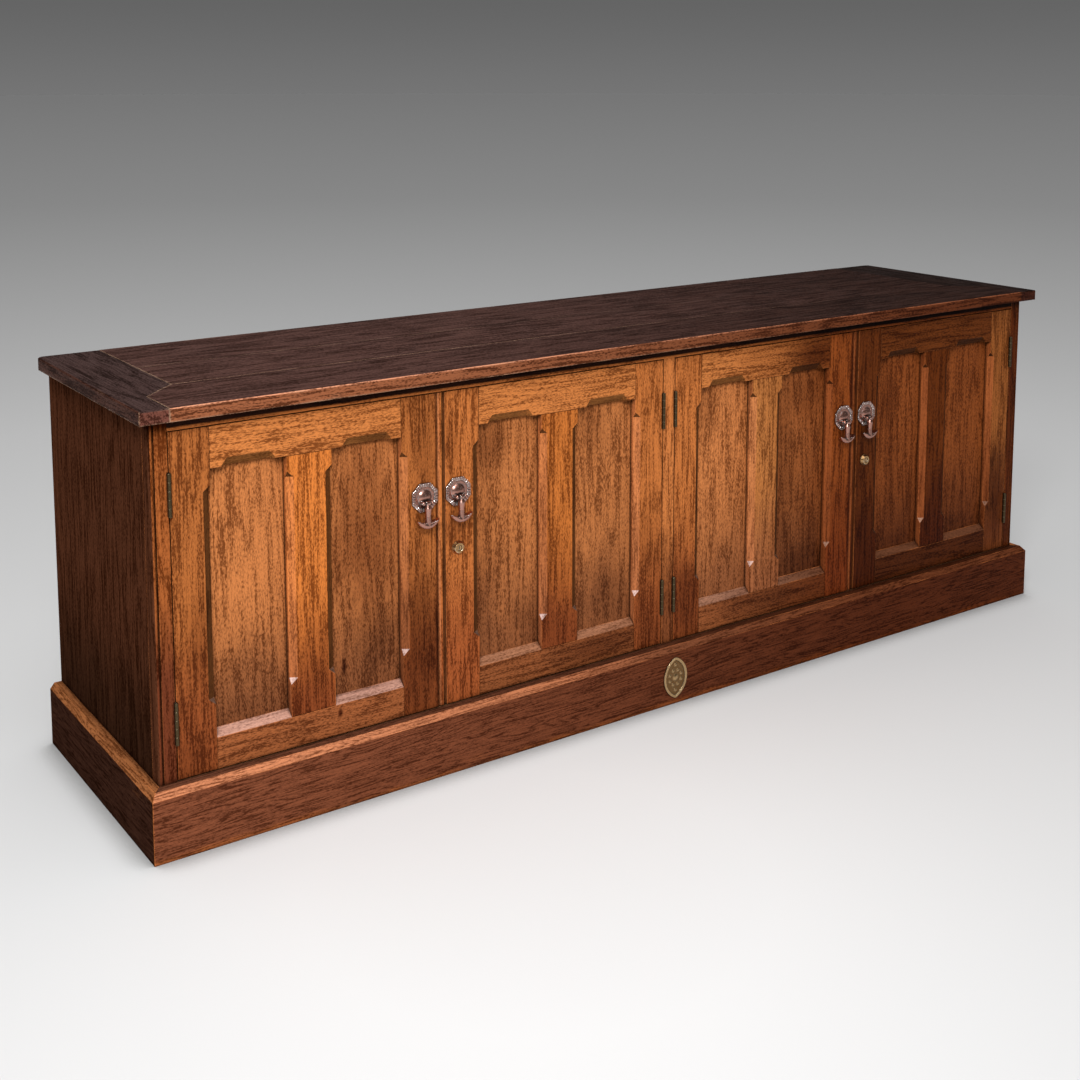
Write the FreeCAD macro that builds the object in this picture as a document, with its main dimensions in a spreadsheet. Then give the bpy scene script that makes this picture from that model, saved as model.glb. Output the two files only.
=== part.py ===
import FreeCAD, Part
import os
import re
import Sketcher

# Oak dresser base: two pairs of framed doors on a plinth.
# Millimetres. +X runs to the right, +Y to the back, +Z up.
# The origin is on the floor, under the middle of the plinth.

SIZES = [
    ("overall_width", 2310, "length of the top and of the plinth"),
    ("overall_depth", 571.5, "front of the ornament on the plinth to the back"),
    ("overall_height", 788, "floor to the upper face of the top"),
    ("top_thickness", 24, "thickness of the top boards"),
    ("top_front_overhang", 27, "top past the face of the doors"),
    ("top_end_overhang", 23, "top past each side"),
    ("top_edge_radius", 3, "easing of the top's upper edges"),
    ("top_corner_radius", 14, "worn back corners of the top"),
    ("clamp_width", 124, "end clamp across the inner boards"),
    ("clamp_front_width", 53, "end clamp at the front edge"),
    ("front_board_width", 177.5, "front board of the top"),
    ("middle_board_width", 177, "first board behind the front board"),
    ("side_thickness", 22, "side boards"),
    ("stile_thickness", 28, "face frame, front to back"),
    ("end_stile_width", 33, "outer stiles of the face frame"),
    ("centre_stile_width", 30, "centre stile of the face frame"),
    ("centre_stile_shift", -9, "centre stile off the middle, as on this hand-made piece"),
    ("corner_bead", 8, "diameter of the bead on each front corner"),
    ("corner_quirk", 2, "groove beside the corner bead"),
    ("head_rail_height", 21, "rail between the doors and the top"),
    ("back_rail_height", 60, "rail under the top at the back"),
    ("back_rail_thickness", 22, "rail under the top at the back"),
    ("bottom_thickness", 22, "bottom board"),
    ("partition_thickness", 20, "board between the two cupboards"),
    ("back_thickness", 12, "boards of the back"),
    ("back_board_count", 9, "boards in the back"),
    ("back_board_gap", 0.6, "joint between two boards of the back"),
    ("shelf_thickness", 18, "shelves"),
    ("shelf_lock_gap", 35.5, "underside of the shelves above the middle of the locks"),
    ("door_stop_gap", 1, "closed door to the front edge of a shelf"),
    ("bearer_height", 24, "battens under the shelves and the bottom"),
    ("bearer_width", 18, "battens under the shelves and the bottom"),
    ("bearer_setback", 30, "front end of a shelf batten behind the shelf's edge"),
    ("plinth_height", 125, "floor to the top of the plinth"),
    ("plinth_projection", 30, "plinth past the face of the doors"),
    ("plinth_chamfer", 11, "chamfer along the top of the plinth"),
    ("plinth_back_thickness", 22, "rear board of the plinth"),
    ("door_thickness", 28, "door frames"),
    ("door_foot_gap", 2, "door above the plinth"),
    ("door_head_gap", 2, "door below the head rail"),
    ("hinge_gap", 2, "door to the face frame at its hinges"),
    ("meeting_gap", 2.5, "between the two doors of a pair"),
    ("left_meeting_shift", -4.2, "doors of the left pair meet off their middle"),
    ("right_meeting_shift", -5.5, "doors of the right pair meet off their middle"),
    ("hinge_stile_width", 72, "door stile that carries the hinges"),
    ("meeting_stile_width", 75, "door stile that carries the handle, without its bead"),
    ("meeting_bead", 14, "diameter of the bead on the right-hand doors"),
    ("meeting_quirk", 2.5, "groove beside that bead"),
    ("muntin_width", 88, "upright between the two panels of a door"),
    ("top_rail_height", 73.5, "top rail of a door"),
    ("bottom_rail_height", 57.5, "bottom rail of a door, up to its sill"),
    ("sill_rise", 13, "slope of the sill, up to the panel"),
    ("panel_recess", 15, "panels behind the face of a door"),
    ("panel_thickness", 7, "panels"),
    ("groove_depth", 10, "groove around a panel"),
    ("panel_play", 0.8, "panel edge to the bottom of its groove"),
    ("panel_slack", 0.2, "panel in the width of its groove"),
    ("chamfer_face", 13, "stopped chamfer of an upright, across the face"),
    ("chamfer_depth", 8.5, "stopped chamfer of an upright, into the edge"),
    ("chamfer_stop", 11, "length of a chamfer's pointed stop"),
    ("chamfer_head_margin", 28.5, "chamfer's upper point below the top rail"),
    ("chamfer_foot_margin", 61, "chamfer's lower point above the sill"),
    ("rail_chamfer_height", 15, "stopped chamfer of a top rail, up its face"),
    ("rail_chamfer_margin", 20.5, "top rail's chamfer from the ends of a panel"),
    ("hinge_length", 76, "butt hinges"),
    ("hinge_head_drop", 108, "door's top edge to the middle of the upper hinge"),
    ("hinge_foot_rise", 102, "door's bottom edge to the middle of the lower hinge"),
    ("leaf_width", 22, "hinge leaf behind the face"),
    ("leaf_thickness", 2, "hinge leaf"),
    ("leaf_play", 0.2, "each leaf from the middle of the joint"),
    ("knuckle_radius", 3.5, "hinge knuckle"),
    ("knuckle_play", 0.3, "between two knuckles"),
    ("notch_play", 0.5, "wood around the knuckles"),
    ("hinge_pin_radius", 2, "hinge pin"),
    ("pin_play", 0.05, "running clearance of every pin and plug"),
    ("pin_stand_off", 2.5, "hinge pin in front of the face"),
    ("screw_head_radius", 3.6, "hinge screws"),
    ("screw_shank_radius", 1.8, "hinge screws"),
    ("screw_length", 11, "hinge screws"),
    ("screw_pitch", 26, "between the screws of a leaf"),
    ("screw_set_back", 12, "line of the screws behind the face"),
    ("screw_play", 0.05, "wood around a screw"),
    ("handle_head_drop", 195.5, "door's top edge to the middle of a handle plate"),
    ("handle_edge_offset", 27.5, "middle of a handle plate from a plain meeting edge"),
    ("handle_bead_offset", 27, "middle of a handle plate from the groove beside a bead"),
    ("plate_width", 54, "octagonal handle plate across its flats"),
    ("plate_thickness", 2.4, "ground of the handle plate"),
    ("plate_rim_width", 6, "raised rim of the handle plate"),
    ("plate_rim_height", 4.2, "raised rim of the handle plate"),
    ("plate_notch_radius", 1, "notches across that rim"),
    ("boss_radius", 17, "dome of the handle plate"),
    ("boss_height", 8.5, "dome of the handle plate"),
    ("handle_stud_radius", 3, "stud that holds the handle"),
    ("handle_nut_width", 11, "nut of the handle, across its corners"),
    ("handle_nut_height", 4, "nut of the handle"),
    ("stud_play", 0.1, "wood around the studs and the lock"),
    ("lug_radius", 4, "balls that carry the drop"),
    ("lug_neck_radius", 2.8, "necks of those balls"),
    ("lug_spacing", 18, "between the two balls"),
    ("pivot_drop", 8, "drop's pivot below the middle of the plate"),
    ("pivot_stand_off", 14, "drop's pivot in front of the face"),
    ("pivot_radius", 1.6, "pivot pin of the drop"),
    ("eye_radius", 4.4, "eye of the drop"),
    ("eye_length", 9, "eye of the drop"),
    ("shank_head_radius", 3, "shank of the drop at its eye"),
    ("shank_bell_radius", 7, "bell of the shank, below its eye"),
    ("shank_bell_drop", 10, "pivot to the bell of the shank"),
    ("shank_waist_radius", 5.3, "waist of the shank"),
    ("shank_waist_drop", 25, "pivot to the waist of the shank"),
    ("shank_foot_radius", 6.6, "shank of the drop at its foot"),
    ("drop_length", 49, "pivot to the lowest point of the drop's foot"),
    ("foot_width", 47, "crescent foot of the drop, tip to tip"),
    ("foot_height", 17, "crescent foot of the drop, up to its tips"),
    ("foot_thickness", 11, "crescent foot of the drop at its middle"),
    ("foot_round", 6.5, "rounded section of the crescent foot"),
    ("lock_drop", 111, "lock below the middle of the handle plate"),
    ("lock_rim_radius", 13.5, "bevelled rim of the lock, against the door"),
    ("lock_face_radius", 9.8, "flat face of the lock"),
    ("lock_rim_height", 6.5, "face of the lock in front of the door"),
    ("barrel_radius", 9.5, "barrel of the lock"),
    ("barrel_tail", 1, "barrel behind the door"),
    ("plug_radius", 6, "turning plug of the lock"),
    ("plug_recess", 1, "plug behind that face"),
    ("key_slot_width", 1.6, "key slot"),
    ("key_slot_length", 7, "key slot"),
    ("key_slot_depth", 8, "key slot"),
    ("cam_width", 14, "cam of the lock"),
    ("cam_thickness", 2.5, "cam of the lock"),
    ("cam_overlap", 12, "locked cam behind the other door"),
    ("cam_play", 0.3, "cam behind the barrel"),
    ("button_length", 90, "turn-button"),
    ("button_width", 14, "turn-button"),
    ("button_thickness", 3, "turn-button"),
    ("button_play", 0.3, "turn-button behind the door"),
    ("button_stud_radius", 3, "stud of a turn-button"),
    ("button_stud_depth", 18, "stud of a turn-button in the door"),
    ("button_stud_end_play", 0.5, "end of that stud to the bottom of its hole"),
    ("button_edge_offset", 52, "turn-button from the meeting edge"),
    ("button_head_drop", 30, "turn-button below the door's top edge"),
    ("ornament_width", 62, "ornament on the plinth"),
    ("ornament_height", 90, "ornament on the plinth"),
    ("ornament_thickness", 0.8, "ground of the ornament"),
    ("ornament_rim", 5, "raised rim of the ornament"),
    ("ornament_rim_height", 2.4, "raised rim of the ornament"),
    ("ornament_boss_radius", 9, "boss of the ornament"),
    ("ornament_boss_height", 3.5, "boss of the ornament"),
    ("ornament_bead_radius", 4.6, "beads of the ornament"),
    ("ornament_bead_height", 2.8, "beads of the ornament"),
    ("ornament_ring_radius", 16.5, "ring of beads around the boss"),
    ("ornament_tip_margin", 17, "bead in each point, from that point"),
    ("ornament_centre", 58, "middle of the ornament above the floor"),
]

# Places worked out from the sizes. A name may use the names above it.
PLACES = {
    "half_width": "overall_width / 2",
    "front_y": "ornament_boss_height - overall_depth / 2",
    "back_y": "overall_depth / 2",
    "face_y": "front_y + plinth_projection",
    "frame_back_y": "face_y + stile_thickness",
    "door_back_y": "face_y + door_thickness",
    "boards_y": "back_y - back_thickness",
    "top_front_y": "face_y - top_front_overhang",
    "front_joint_y": "top_front_y + front_board_width",
    "middle_joint_y": "front_joint_y + middle_board_width",
    "case_half": "half_width - top_end_overhang",
    "inner_half": "case_half - side_thickness",
    "opening_half": "case_half - end_stile_width",
    "centre_low": "centre_stile_shift - centre_stile_width / 2",
    "centre_high": "centre_stile_shift + centre_stile_width / 2",
    "partition_low": "centre_stile_shift - partition_thickness / 2",
    "partition_high": "centre_stile_shift + partition_thickness / 2",
    "clamp_joint_x": "half_width - clamp_width",
    "clamp_front_x": "half_width - clamp_front_width",
    "mitre_y": "front_joint_y - clamp_width + clamp_front_width",
    "top_low": "overall_height - top_thickness",
    "head_low": "top_low - head_rail_height",
    "bottom_low": "plinth_height - bottom_thickness",
    "shelf_front_y": "door_back_y + door_stop_gap",
    "door_low": "plinth_height + door_foot_gap",
    "door_high": "head_low - door_head_gap",
    "rail_low": "door_high - top_rail_height",
    "sill_low": "door_low + bottom_rail_height",
    "sill_high": "sill_low + sill_rise",
    "groove_low_y": "face_y + panel_recess",
    "groove_high_y": "groove_low_y + panel_thickness + panel_slack",
    "panel_low_y": "groove_low_y + panel_slack / 2",
    "panel_tongue": "groove_depth - panel_play",
    "chamfer_low": "sill_low + chamfer_foot_margin + chamfer_stop",
    "chamfer_high": "rail_low - chamfer_head_margin - chamfer_stop",
    "pin_y": "face_y - pin_stand_off",
    "hinge_high": "door_high - hinge_head_drop",
    "hinge_low": "door_low + hinge_foot_rise",
    "bead_width": "meeting_bead + meeting_quirk",
    "handle_z": "door_high - handle_head_drop",
    "lock_z": "handle_z - lock_drop",
    "shelf_low": "lock_z + shelf_lock_gap",
    "shelf_top": "shelf_low + shelf_thickness",
    "button_z": "door_high - button_head_drop",
    "lock_edge_offset": "handle_bead_offset + bead_width",
    "cam_length": "lock_edge_offset + meeting_gap + cam_overlap",
}

UPRIGHT_TO_WALL = FreeCAD.Rotation(FreeCAD.Vector(1, 0, 0), 90)
ALONG_X = FreeCAD.Rotation(FreeCAD.Vector(0, 1, 0), 90)
TURNED_ROUND = FreeCAD.Rotation(FreeCAD.Vector(0, 1, 0), 180)
QUARTER_TURN = FreeCAD.Rotation(FreeCAD.Vector(0, 0, 1), 90)
STRAIGHT = FreeCAD.Rotation()
PLATE_SIDES = 8
PLATE_NOTCHES = 32
ORNAMENT_BEADS = 8
FULL_TURN = 360
HALF = 0.5
NUT_SIDES = 6
KNUCKLES = 5
SAME_PLACE = 1e-6

doc = FreeCAD.newDocument("dresser_base")
sheet = doc.addObject("Spreadsheet::Sheet", "Sizes")
NODES = []


def fill_sheet():
    """Write every driving size into the sheet under its own name."""
    for row, (alias, value, meaning) in enumerate(SIZES, start=1):
        sheet.set(f"A{row}", meaning)
        sheet.set(f"B{row}", str(value))
        sheet.setAlias(f"B{row}", alias)
    doc.recompute()


def formula(text):
    """Turn words for sizes and places into an expression on the sheet."""
    aliases = {alias for alias, value, meaning in SIZES}

    def expand(match):
        word = match.group(0)
        if word in PLACES:
            return f"({formula(PLACES[word])})"
        return f"Sizes.{word}" if word in aliases else word

    return re.sub(r"[a-z][a-z_0-9]*", expand, text)


def number(text):
    """The present value of a formula."""
    return float(sheet.evalExpression(formula(f"1 * ({text})")))


def bind(piece, **sizes):
    """Tie properties of a piece to formulas."""
    for name, text in sizes.items():
        piece.setExpression(name, formula(text))
    return piece


def move(piece, x="0", y="0", z="0", rotation=STRAIGHT):
    """Turn a piece, then tie its place to formulas."""
    piece.Placement = FreeCAD.Placement(FreeCAD.Vector(), rotation)
    for axis, text in zip("xyz", (x, y, z)):
        piece.setExpression(f"Placement.Base.{axis}", formula(text))
    return piece


def turn(piece, angle):
    """Tie the turn of a piece about its upright axis to a formula."""
    piece.setExpression("Placement.Rotation.Angle", formula(angle))
    return piece


def box(name, x, y, z):
    """A board between two limits on each axis."""
    piece = doc.addObject("Part::Box", name)
    spans = [f"({high}) - ({low})" for low, high in (x, y, z)]
    bind(piece, Length=spans[0], Width=spans[1], Height=spans[2])
    return move(piece, x[0], y[0], z[0])


def cylinder(name, radius, height, x="0", y="0", z="0", rotation=STRAIGHT):
    """A round bar that starts at a point and runs along its own axis."""
    piece = doc.addObject("Part::Cylinder", name)
    bind(piece, Radius=radius, Height=height)
    return move(piece, x, y, z, rotation)


def prism(name, sides, corner_radius, height, z="0"):
    """A bar with a regular outline that has a flat side at the top."""
    piece = doc.addObject("Part::Prism", name)
    piece.Polygon = sides
    bind(piece, Circumradius=corner_radius, Height=height)
    return turn(move(piece, z=z, rotation=QUARTER_TURN), f"90 deg - 180 deg / {sides}")


def dome(name, radius, height, x="0", y="0"):
    """A shallow dome that stands on the ground plane."""
    piece = doc.addObject("Part::Sphere", name)
    ball = f"((({radius})^2 + ({height})^2) / (2 * ({height})))"
    bind(piece, Radius=ball, Angle1=f"asin(1 - ({height}) / {ball})")
    return move(piece, x, y, f"{height} - {ball}")


def fuse(name, pieces):
    """One solid from several that meet."""
    piece = doc.addObject("Part::MultiFuse", name)
    piece.Shapes = pieces
    return piece


def group(name, pieces):
    """Several separate solids kept together."""
    piece = doc.addObject("Part::Compound", name)
    piece.Links = pieces
    return piece


def cut(name, base, tools):
    """A piece with several tools taken out of it."""
    piece = doc.addObject("Part::Cut", name)
    piece.Base = base
    piece.Tool = tools[0] if len(tools) == 1 else fuse(f"{name}_tools", tools)
    return piece


def copy(name, source, x, y, z, rotation=STRAIGHT):
    """The same piece once more, in another place."""
    return move(group(name, [source]), x, y, z, rotation)


def node(piece):
    """Mark a finished sub-part, which is written to its own file."""
    NODES.append(piece)
    return piece


def slab(name, corners, low, height):
    """A flat board with a straight-sided outline, padded up from its underside."""
    body = doc.addObject("PartDesign::Body", name)
    sketch = body.newObject("Sketcher::SketchObject", f"{name}_outline")
    plane = next(item for item in body.Origin.OriginFeatures if item.Role == "XY_Plane")
    sketch.AttachmentSupport = [(plane, "")]
    sketch.MapMode = "FlatFace"
    points = [FreeCAD.Vector(number(x), number(y), 0) for x, y in corners]
    count = len(points)
    for index in range(count):
        sketch.addGeometry(Part.LineSegment(points[index], points[(index + 1) % count]))
    for index in range(count):
        sketch.addConstraint(Sketcher.Constraint("Coincident", index, 2, (index + 1) % count, 1))
    for index, (x, y) in enumerate(corners):
        for kind, text in (("DistanceX", x), ("DistanceY", y)):
            tie = Sketcher.Constraint(kind, -1, 1, index, 1, number(text))
            sketch.setExpression(f"Constraints[{sketch.addConstraint(tie)}]", formula(text))
    pad = body.newObject("PartDesign::Pad", f"{name}_pad")
    pad.Profile = sketch
    bind(pad, Length=height)
    move(body, z=low)
    doc.recompute()
    return body, pad


def edges_at(feature, **place):
    """Names of the straight edges whose two ends lie at the given places."""
    found = []
    for index, edge in enumerate(feature.Shape.Edges, start=1):
        ends = [vertex.Point for vertex in edge.Vertexes]
        near = [abs(getattr(end, axis) - value) < SAME_PLACE for end in ends for axis, value in place.items()]
        if all(near):
            found.append(f"Edge{index}")
    return found


def ease(body, feature, edges, radius, name):
    """Round the listed edges of a top board."""
    fillet = body.newObject("PartDesign::Fillet", f"{body.Name}_{name}")
    fillet.Base = (feature, edges)
    bind(fillet, Radius=radius)
    doc.recompute()
    return fillet


def bevel(body, pad, edges, first, second):
    """Chamfer an edge by a different width on each of its two faces."""
    chamfer = body.newObject("PartDesign::Chamfer", f"{body.Name}_bevel")
    chamfer.Base = (pad, edges)
    chamfer.ChamferType = "Two distances"
    bind(chamfer, Size=first, Size2=second)
    return chamfer


def make_top():
    """Front board, two inner boards and the two end clamps of the top."""
    height = number("top_thickness")
    front, pad = slab("top_front_board", [
        ("-clamp_front_x", "top_front_y"), ("clamp_front_x", "top_front_y"), ("clamp_front_x", "mitre_y"),
        ("clamp_joint_x", "front_joint_y"), ("-clamp_joint_x", "front_joint_y"), ("-clamp_front_x", "mitre_y"),
    ], "top_low", "top_thickness")
    ease(front, pad, edges_at(pad, y=number("top_front_y"), z=height), "top_edge_radius", "easing")
    node(front)
    inner_x = ("-clamp_joint_x", "clamp_joint_x")
    inner_z = ("top_low", "overall_height")
    middle = box("top_middle_board", inner_x, ("front_joint_y", "middle_joint_y"), inner_z)
    rear = box("top_rear_board", inner_x, ("middle_joint_y", "back_y"), inner_z)
    node(group("top_inner_boards", [middle, rear]))
    for name, sign in (("top_left_clamp", "-"), ("top_right_clamp", "")):
        clamp, pad = slab(name, [
            (f"{sign}half_width", "top_front_y"), (f"{sign}clamp_front_x", "top_front_y"),
            (f"{sign}clamp_front_x", "mitre_y"), (f"{sign}clamp_joint_x", "front_joint_y"),
            (f"{sign}clamp_joint_x", "back_y"), (f"{sign}half_width", "back_y"),
        ], "top_low", "top_thickness")
        end_x = number(f"{sign}half_width")
        corner = ease(clamp, pad, edges_at(pad, x=end_x, y=number("back_y")), "top_corner_radius", "corner")
        end = edges_at(corner, x=end_x, z=height)
        ease(clamp, corner, end + edges_at(corner, y=number("top_front_y"), z=height), "top_edge_radius", "easing")
        node(clamp)


def make_plinth():
    """Mitred front and returns with a chamfered top edge, and the rear board."""
    height = number("plinth_height")
    front, pad = slab("plinth_front", [
        ("-half_width", "front_y"), ("half_width", "front_y"), ("case_half", "face_y"), ("-case_half", "face_y"),
    ], "0", "plinth_height")
    bevel(front, pad, edges_at(pad, y=number("front_y"), z=height), "plinth_chamfer", "plinth_chamfer")
    node(front)
    returns = []
    return_chamfer = "plinth_chamfer * top_end_overhang / plinth_projection"
    for name, sign in (("plinth_left_return", "-"), ("plinth_right_return", "")):
        body, pad = slab(name, [
            (f"{sign}half_width", "front_y"), (f"{sign}case_half", "face_y"),
            (f"{sign}case_half", "back_y"), (f"{sign}half_width", "back_y"),
        ], "0", "plinth_height")
        chamfer = bevel(body, pad, edges_at(pad, x=number(f"{sign}half_width"), z=height),
                        "plinth_chamfer", return_chamfer)
        doc.recompute()
        flat = [face for face in chamfer.Shape.Faces if abs(face.BoundBox.ZMin - height) < SAME_PLACE]
        wanted = number(f"top_end_overhang - {return_chamfer}")
        if abs(flat[0].BoundBox.XLength - wanted) > SAME_PLACE:
            chamfer.FlipDirection = True
        returns.append(body)
    node(group("plinth_returns", returns))
    node(box("plinth_back", ("-inner_half", "inner_half"), ("back_y - plinth_back_thickness", "back_y"),
             ("0", "bottom_low")))


def make_sides():
    """The two side boards, from the floor to the top."""
    span = (("frame_back_y", "back_y"), ("0", "top_low"))
    node(box("left_side", ("-case_half", "-inner_half"), *span))
    node(box("right_side", ("inner_half", "case_half"), *span))


def make_inside():
    """Bottom, partition, back, shelves and the battens that carry them."""
    depth = ("face_y", "boards_y")
    frame = ("face_y", "frame_back_y")
    layer = ("bottom_low", "plinth_height")
    board = box("bottom_blank", ("-inner_half", "inner_half"), depth, layer)
    notches = [
        box("bottom_notch_left", ("-inner_half", "-opening_half"), frame, layer),
        box("bottom_notch_centre", ("centre_low", "centre_high"), frame, layer),
        box("bottom_notch_right", ("opening_half", "inner_half"), frame, layer),
    ]
    node(cut("bottom_board", board, notches))
    rail = (("-inner_half", "inner_half"), ("boards_y - back_rail_thickness", "boards_y"),
            ("top_low - back_rail_height", "top_low"))
    node(box("back_rail", *rail))
    wall = box("partition_blank", ("partition_low", "partition_high"), ("frame_back_y", "boards_y"),
               ("plinth_height", "top_low"))
    node(cut("partition", wall, [box("partition_notch", *rail)]))
    boards = []
    for index in range(int(number("back_board_count"))):
        pitch = "(2 * inner_half + back_board_gap) / back_board_count"
        low = f"-inner_half + {index} * {pitch}"
        boards.append(box(f"back_board_{index + 1}", (low, f"{low} + {pitch} - back_board_gap"),
                          ("boards_y", "back_y"), ("bottom_low", "top_low")))
    node(group("back_boards", boards))
    shelf = (("shelf_front_y", "boards_y"), ("shelf_low", "shelf_top"))
    node(group("shelves", [
        box("left_shelf", ("-inner_half", "partition_low"), *shelf),
        box("right_shelf", ("partition_high", "inner_half"), *shelf),
    ]))
    under_shelf = (("shelf_front_y + bearer_setback", "boards_y"), ("shelf_low - bearer_height", "shelf_low"))
    under_bottom = (("frame_back_y", "back_y - plinth_back_thickness"), ("bottom_low - bearer_height", "bottom_low"))
    middle_foot = (("frame_back_y", "back_y - plinth_back_thickness"), ("0", "bottom_low"))
    node(group("bearers", [
        box("bearer_1", ("-inner_half", "-inner_half + bearer_width"), *under_shelf),
        box("bearer_2", ("partition_low - bearer_width", "partition_low"), *under_shelf),
        box("bearer_3", ("partition_high", "partition_high + bearer_width"), *under_shelf),
        box("bearer_4", ("inner_half - bearer_width", "inner_half"), *under_shelf),
        box("bearer_5", ("-inner_half", "-inner_half + bearer_width"), *under_bottom),
        box("bearer_6", ("inner_half - bearer_width", "inner_half"), *under_bottom),
        box("bearer_7", ("partition_low", "partition_high"), *middle_foot),
    ]))


def beaded(name, blank, edge_x, into, bead, quirk, z):
    """A bead with its groove, run along one front edge of an upright."""
    reach = f"({edge_x}) + ({into}) * ({bead} + {quirk})"
    x = (edge_x, reach) if into == "1" else (reach, edge_x)
    corner = box(f"{name}_bead_room", x, ("face_y", f"face_y + {bead} / 2"), z)
    rounding = cylinder(f"{name}_bead", f"{bead} / 2", f"({z[1]}) - ({z[0]})",
                        f"({edge_x}) + ({into}) * {bead} / 2", f"face_y + {bead} / 2", z[0])
    return fuse(f"{name}_beaded", [cut(f"{name}_cleared", blank, [corner]), rounding])


def stop_chamfer(name, face, depth, length, toward_right):
    """Tool for a chamfer with pointed stops along an upright edge at the origin."""
    slope = f"sqrt(({face})^2 + ({depth})^2)"
    foot = face if toward_right else depth
    tool = doc.addObject("Part::Wedge", name)
    bind(tool, Xmin="0", Ymin="0", Zmin="0", Xmax=slope, Zmax=length,
         Ymax=f"({face}) * ({depth}) / {slope}",
         X2min=f"({foot})^2 / {slope}", X2max=f"({foot})^2 / {slope}",
         Z2min="-chamfer_stop", Z2max=f"({length}) + chamfer_stop")
    sign = "-" if toward_right else "+"
    start = (face, "0") if toward_right else ("0", depth)
    return turn(move(tool, *start, rotation=QUARTER_TURN), f"180 deg {sign} atan(({depth}) / ({face}))")


def make_chamfer_tools():
    """The two hands of the uprights' chamfer."""
    length = "chamfer_high - chamfer_low"
    return {
        True: stop_chamfer("upright_chamfer_right", "chamfer_face", "chamfer_depth", length, True),
        False: stop_chamfer("upright_chamfer_left", "chamfer_face", "chamfer_depth", length, False),
    }


def make_hinge_masters():
    """Frame leaf, door leaf, pin and pocket tools of a hinge whose door lies to the right of its pin."""
    low = "-hinge_length / 2"
    high = "hinge_length / 2"
    leaf_back = "pin_stand_off + leaf_width"
    share = f"hinge_length / {KNUCKLES}"
    screw_y = "pin_stand_off + screw_set_back"
    masters = {}
    for side, sign, knuckles in (("frame", "-", (0, 2, 4)), ("door", "", (1, 3))):
        near = f"{sign}leaf_play"
        far = f"{sign}(leaf_play + leaf_thickness)"
        plate_x = (far, near) if sign else (near, far)
        pieces = [box(f"{side}_leaf_plate", plate_x, ("knuckle_radius + notch_play", leaf_back), (low, high))]
        for index in knuckles:
            base = f"{low} + {index} * {share} + knuckle_play / 2"
            height = f"{share} - knuckle_play"
            tab_z = (base, f"{base} + {height}")
            pieces.append(cylinder(f"{side}_knuckle_{index}", "knuckle_radius", height, z=base))
            pieces.append(box(f"{side}_tab_{index}", plate_x, ("0", "knuckle_radius + notch_play"), tab_z))
        bore = cylinder(f"{side}_leaf_bore", "hinge_pin_radius + pin_play", "hinge_length", z=low)
        inward = FreeCAD.Rotation(FreeCAD.Vector(0, 1, 0), -90 if sign else 90)
        screws, seats, pilots = [], [], []
        for place in (-1, 0, 1):
            spot = dict(y=screw_y, z=f"{place} * screw_pitch", rotation=inward)
            seat = doc.addObject("Part::Cone", f"{side}_seat_{place + 2}")
            bind(seat, Radius1="screw_head_radius", Radius2="screw_shank_radius", Height="leaf_thickness")
            seats.append(move(seat, near, **spot))
            shank = cylinder(f"{side}_shank_{place + 2}", "screw_shank_radius", "screw_length", near, **spot)
            screws.append(fuse(f"{side}_screw_{place + 2}", [seat, shank]))
            pilots.append(cylinder(f"{side}_pilot_{place + 2}", "screw_shank_radius + screw_play",
                                   "screw_length + screw_play", near, **spot))
        leaf = cut(f"{side}_leaf", fuse(f"{side}_leaf_blank", pieces), [bore] + seats)
        masters[f"{side}_leaf"] = group(f"{side}_leaf_set", [leaf] + screws)
        recess = box(f"{side}_recess", plate_x, ("0", leaf_back), (low, high))
        notch = cylinder(f"{side}_notch", "knuckle_radius + notch_play", "hinge_length + 2 * notch_play",
                         z=f"{low} - notch_play")
        masters[f"{side}_pocket"] = fuse(f"{side}_pocket", [recess, notch] + pilots)
    masters["pin"] = cylinder("hinge_pin", "hinge_pin_radius", "hinge_length", z=low)
    return masters


def make_crescent(low):
    """Crescent foot of a drop, its lowest point at low, with a rounded section and thin upturned tips."""
    inner_height = "(foot_height - foot_thickness)"
    outer = "((foot_width / 2)^2 + foot_height^2) / (2 * foot_height)"
    inner = f"((foot_width / 2)^2 + {inner_height}^2) / (2 * {inner_height})"
    middle = f"{low} + {outer}"
    disc = cylinder("foot_disc", outer, "2 * foot_round", y=middle, z="-foot_round")
    hollow = cylinder("foot_hollow", inner, "2 * foot_round", y=f"{low} + foot_thickness + {inner}", z="-foot_round")
    moon = cut("foot_moon", disc, [hollow])
    ring = doc.addObject("Part::Torus", "foot_ring")
    bind(ring, Radius1=f"{outer} - foot_thickness / 2", Radius2="foot_round")
    move(ring, y=middle)
    foot = doc.addObject("Part::MultiCommon", "drop_foot")
    foot.Shapes = [moon, ring]
    return foot


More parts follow.
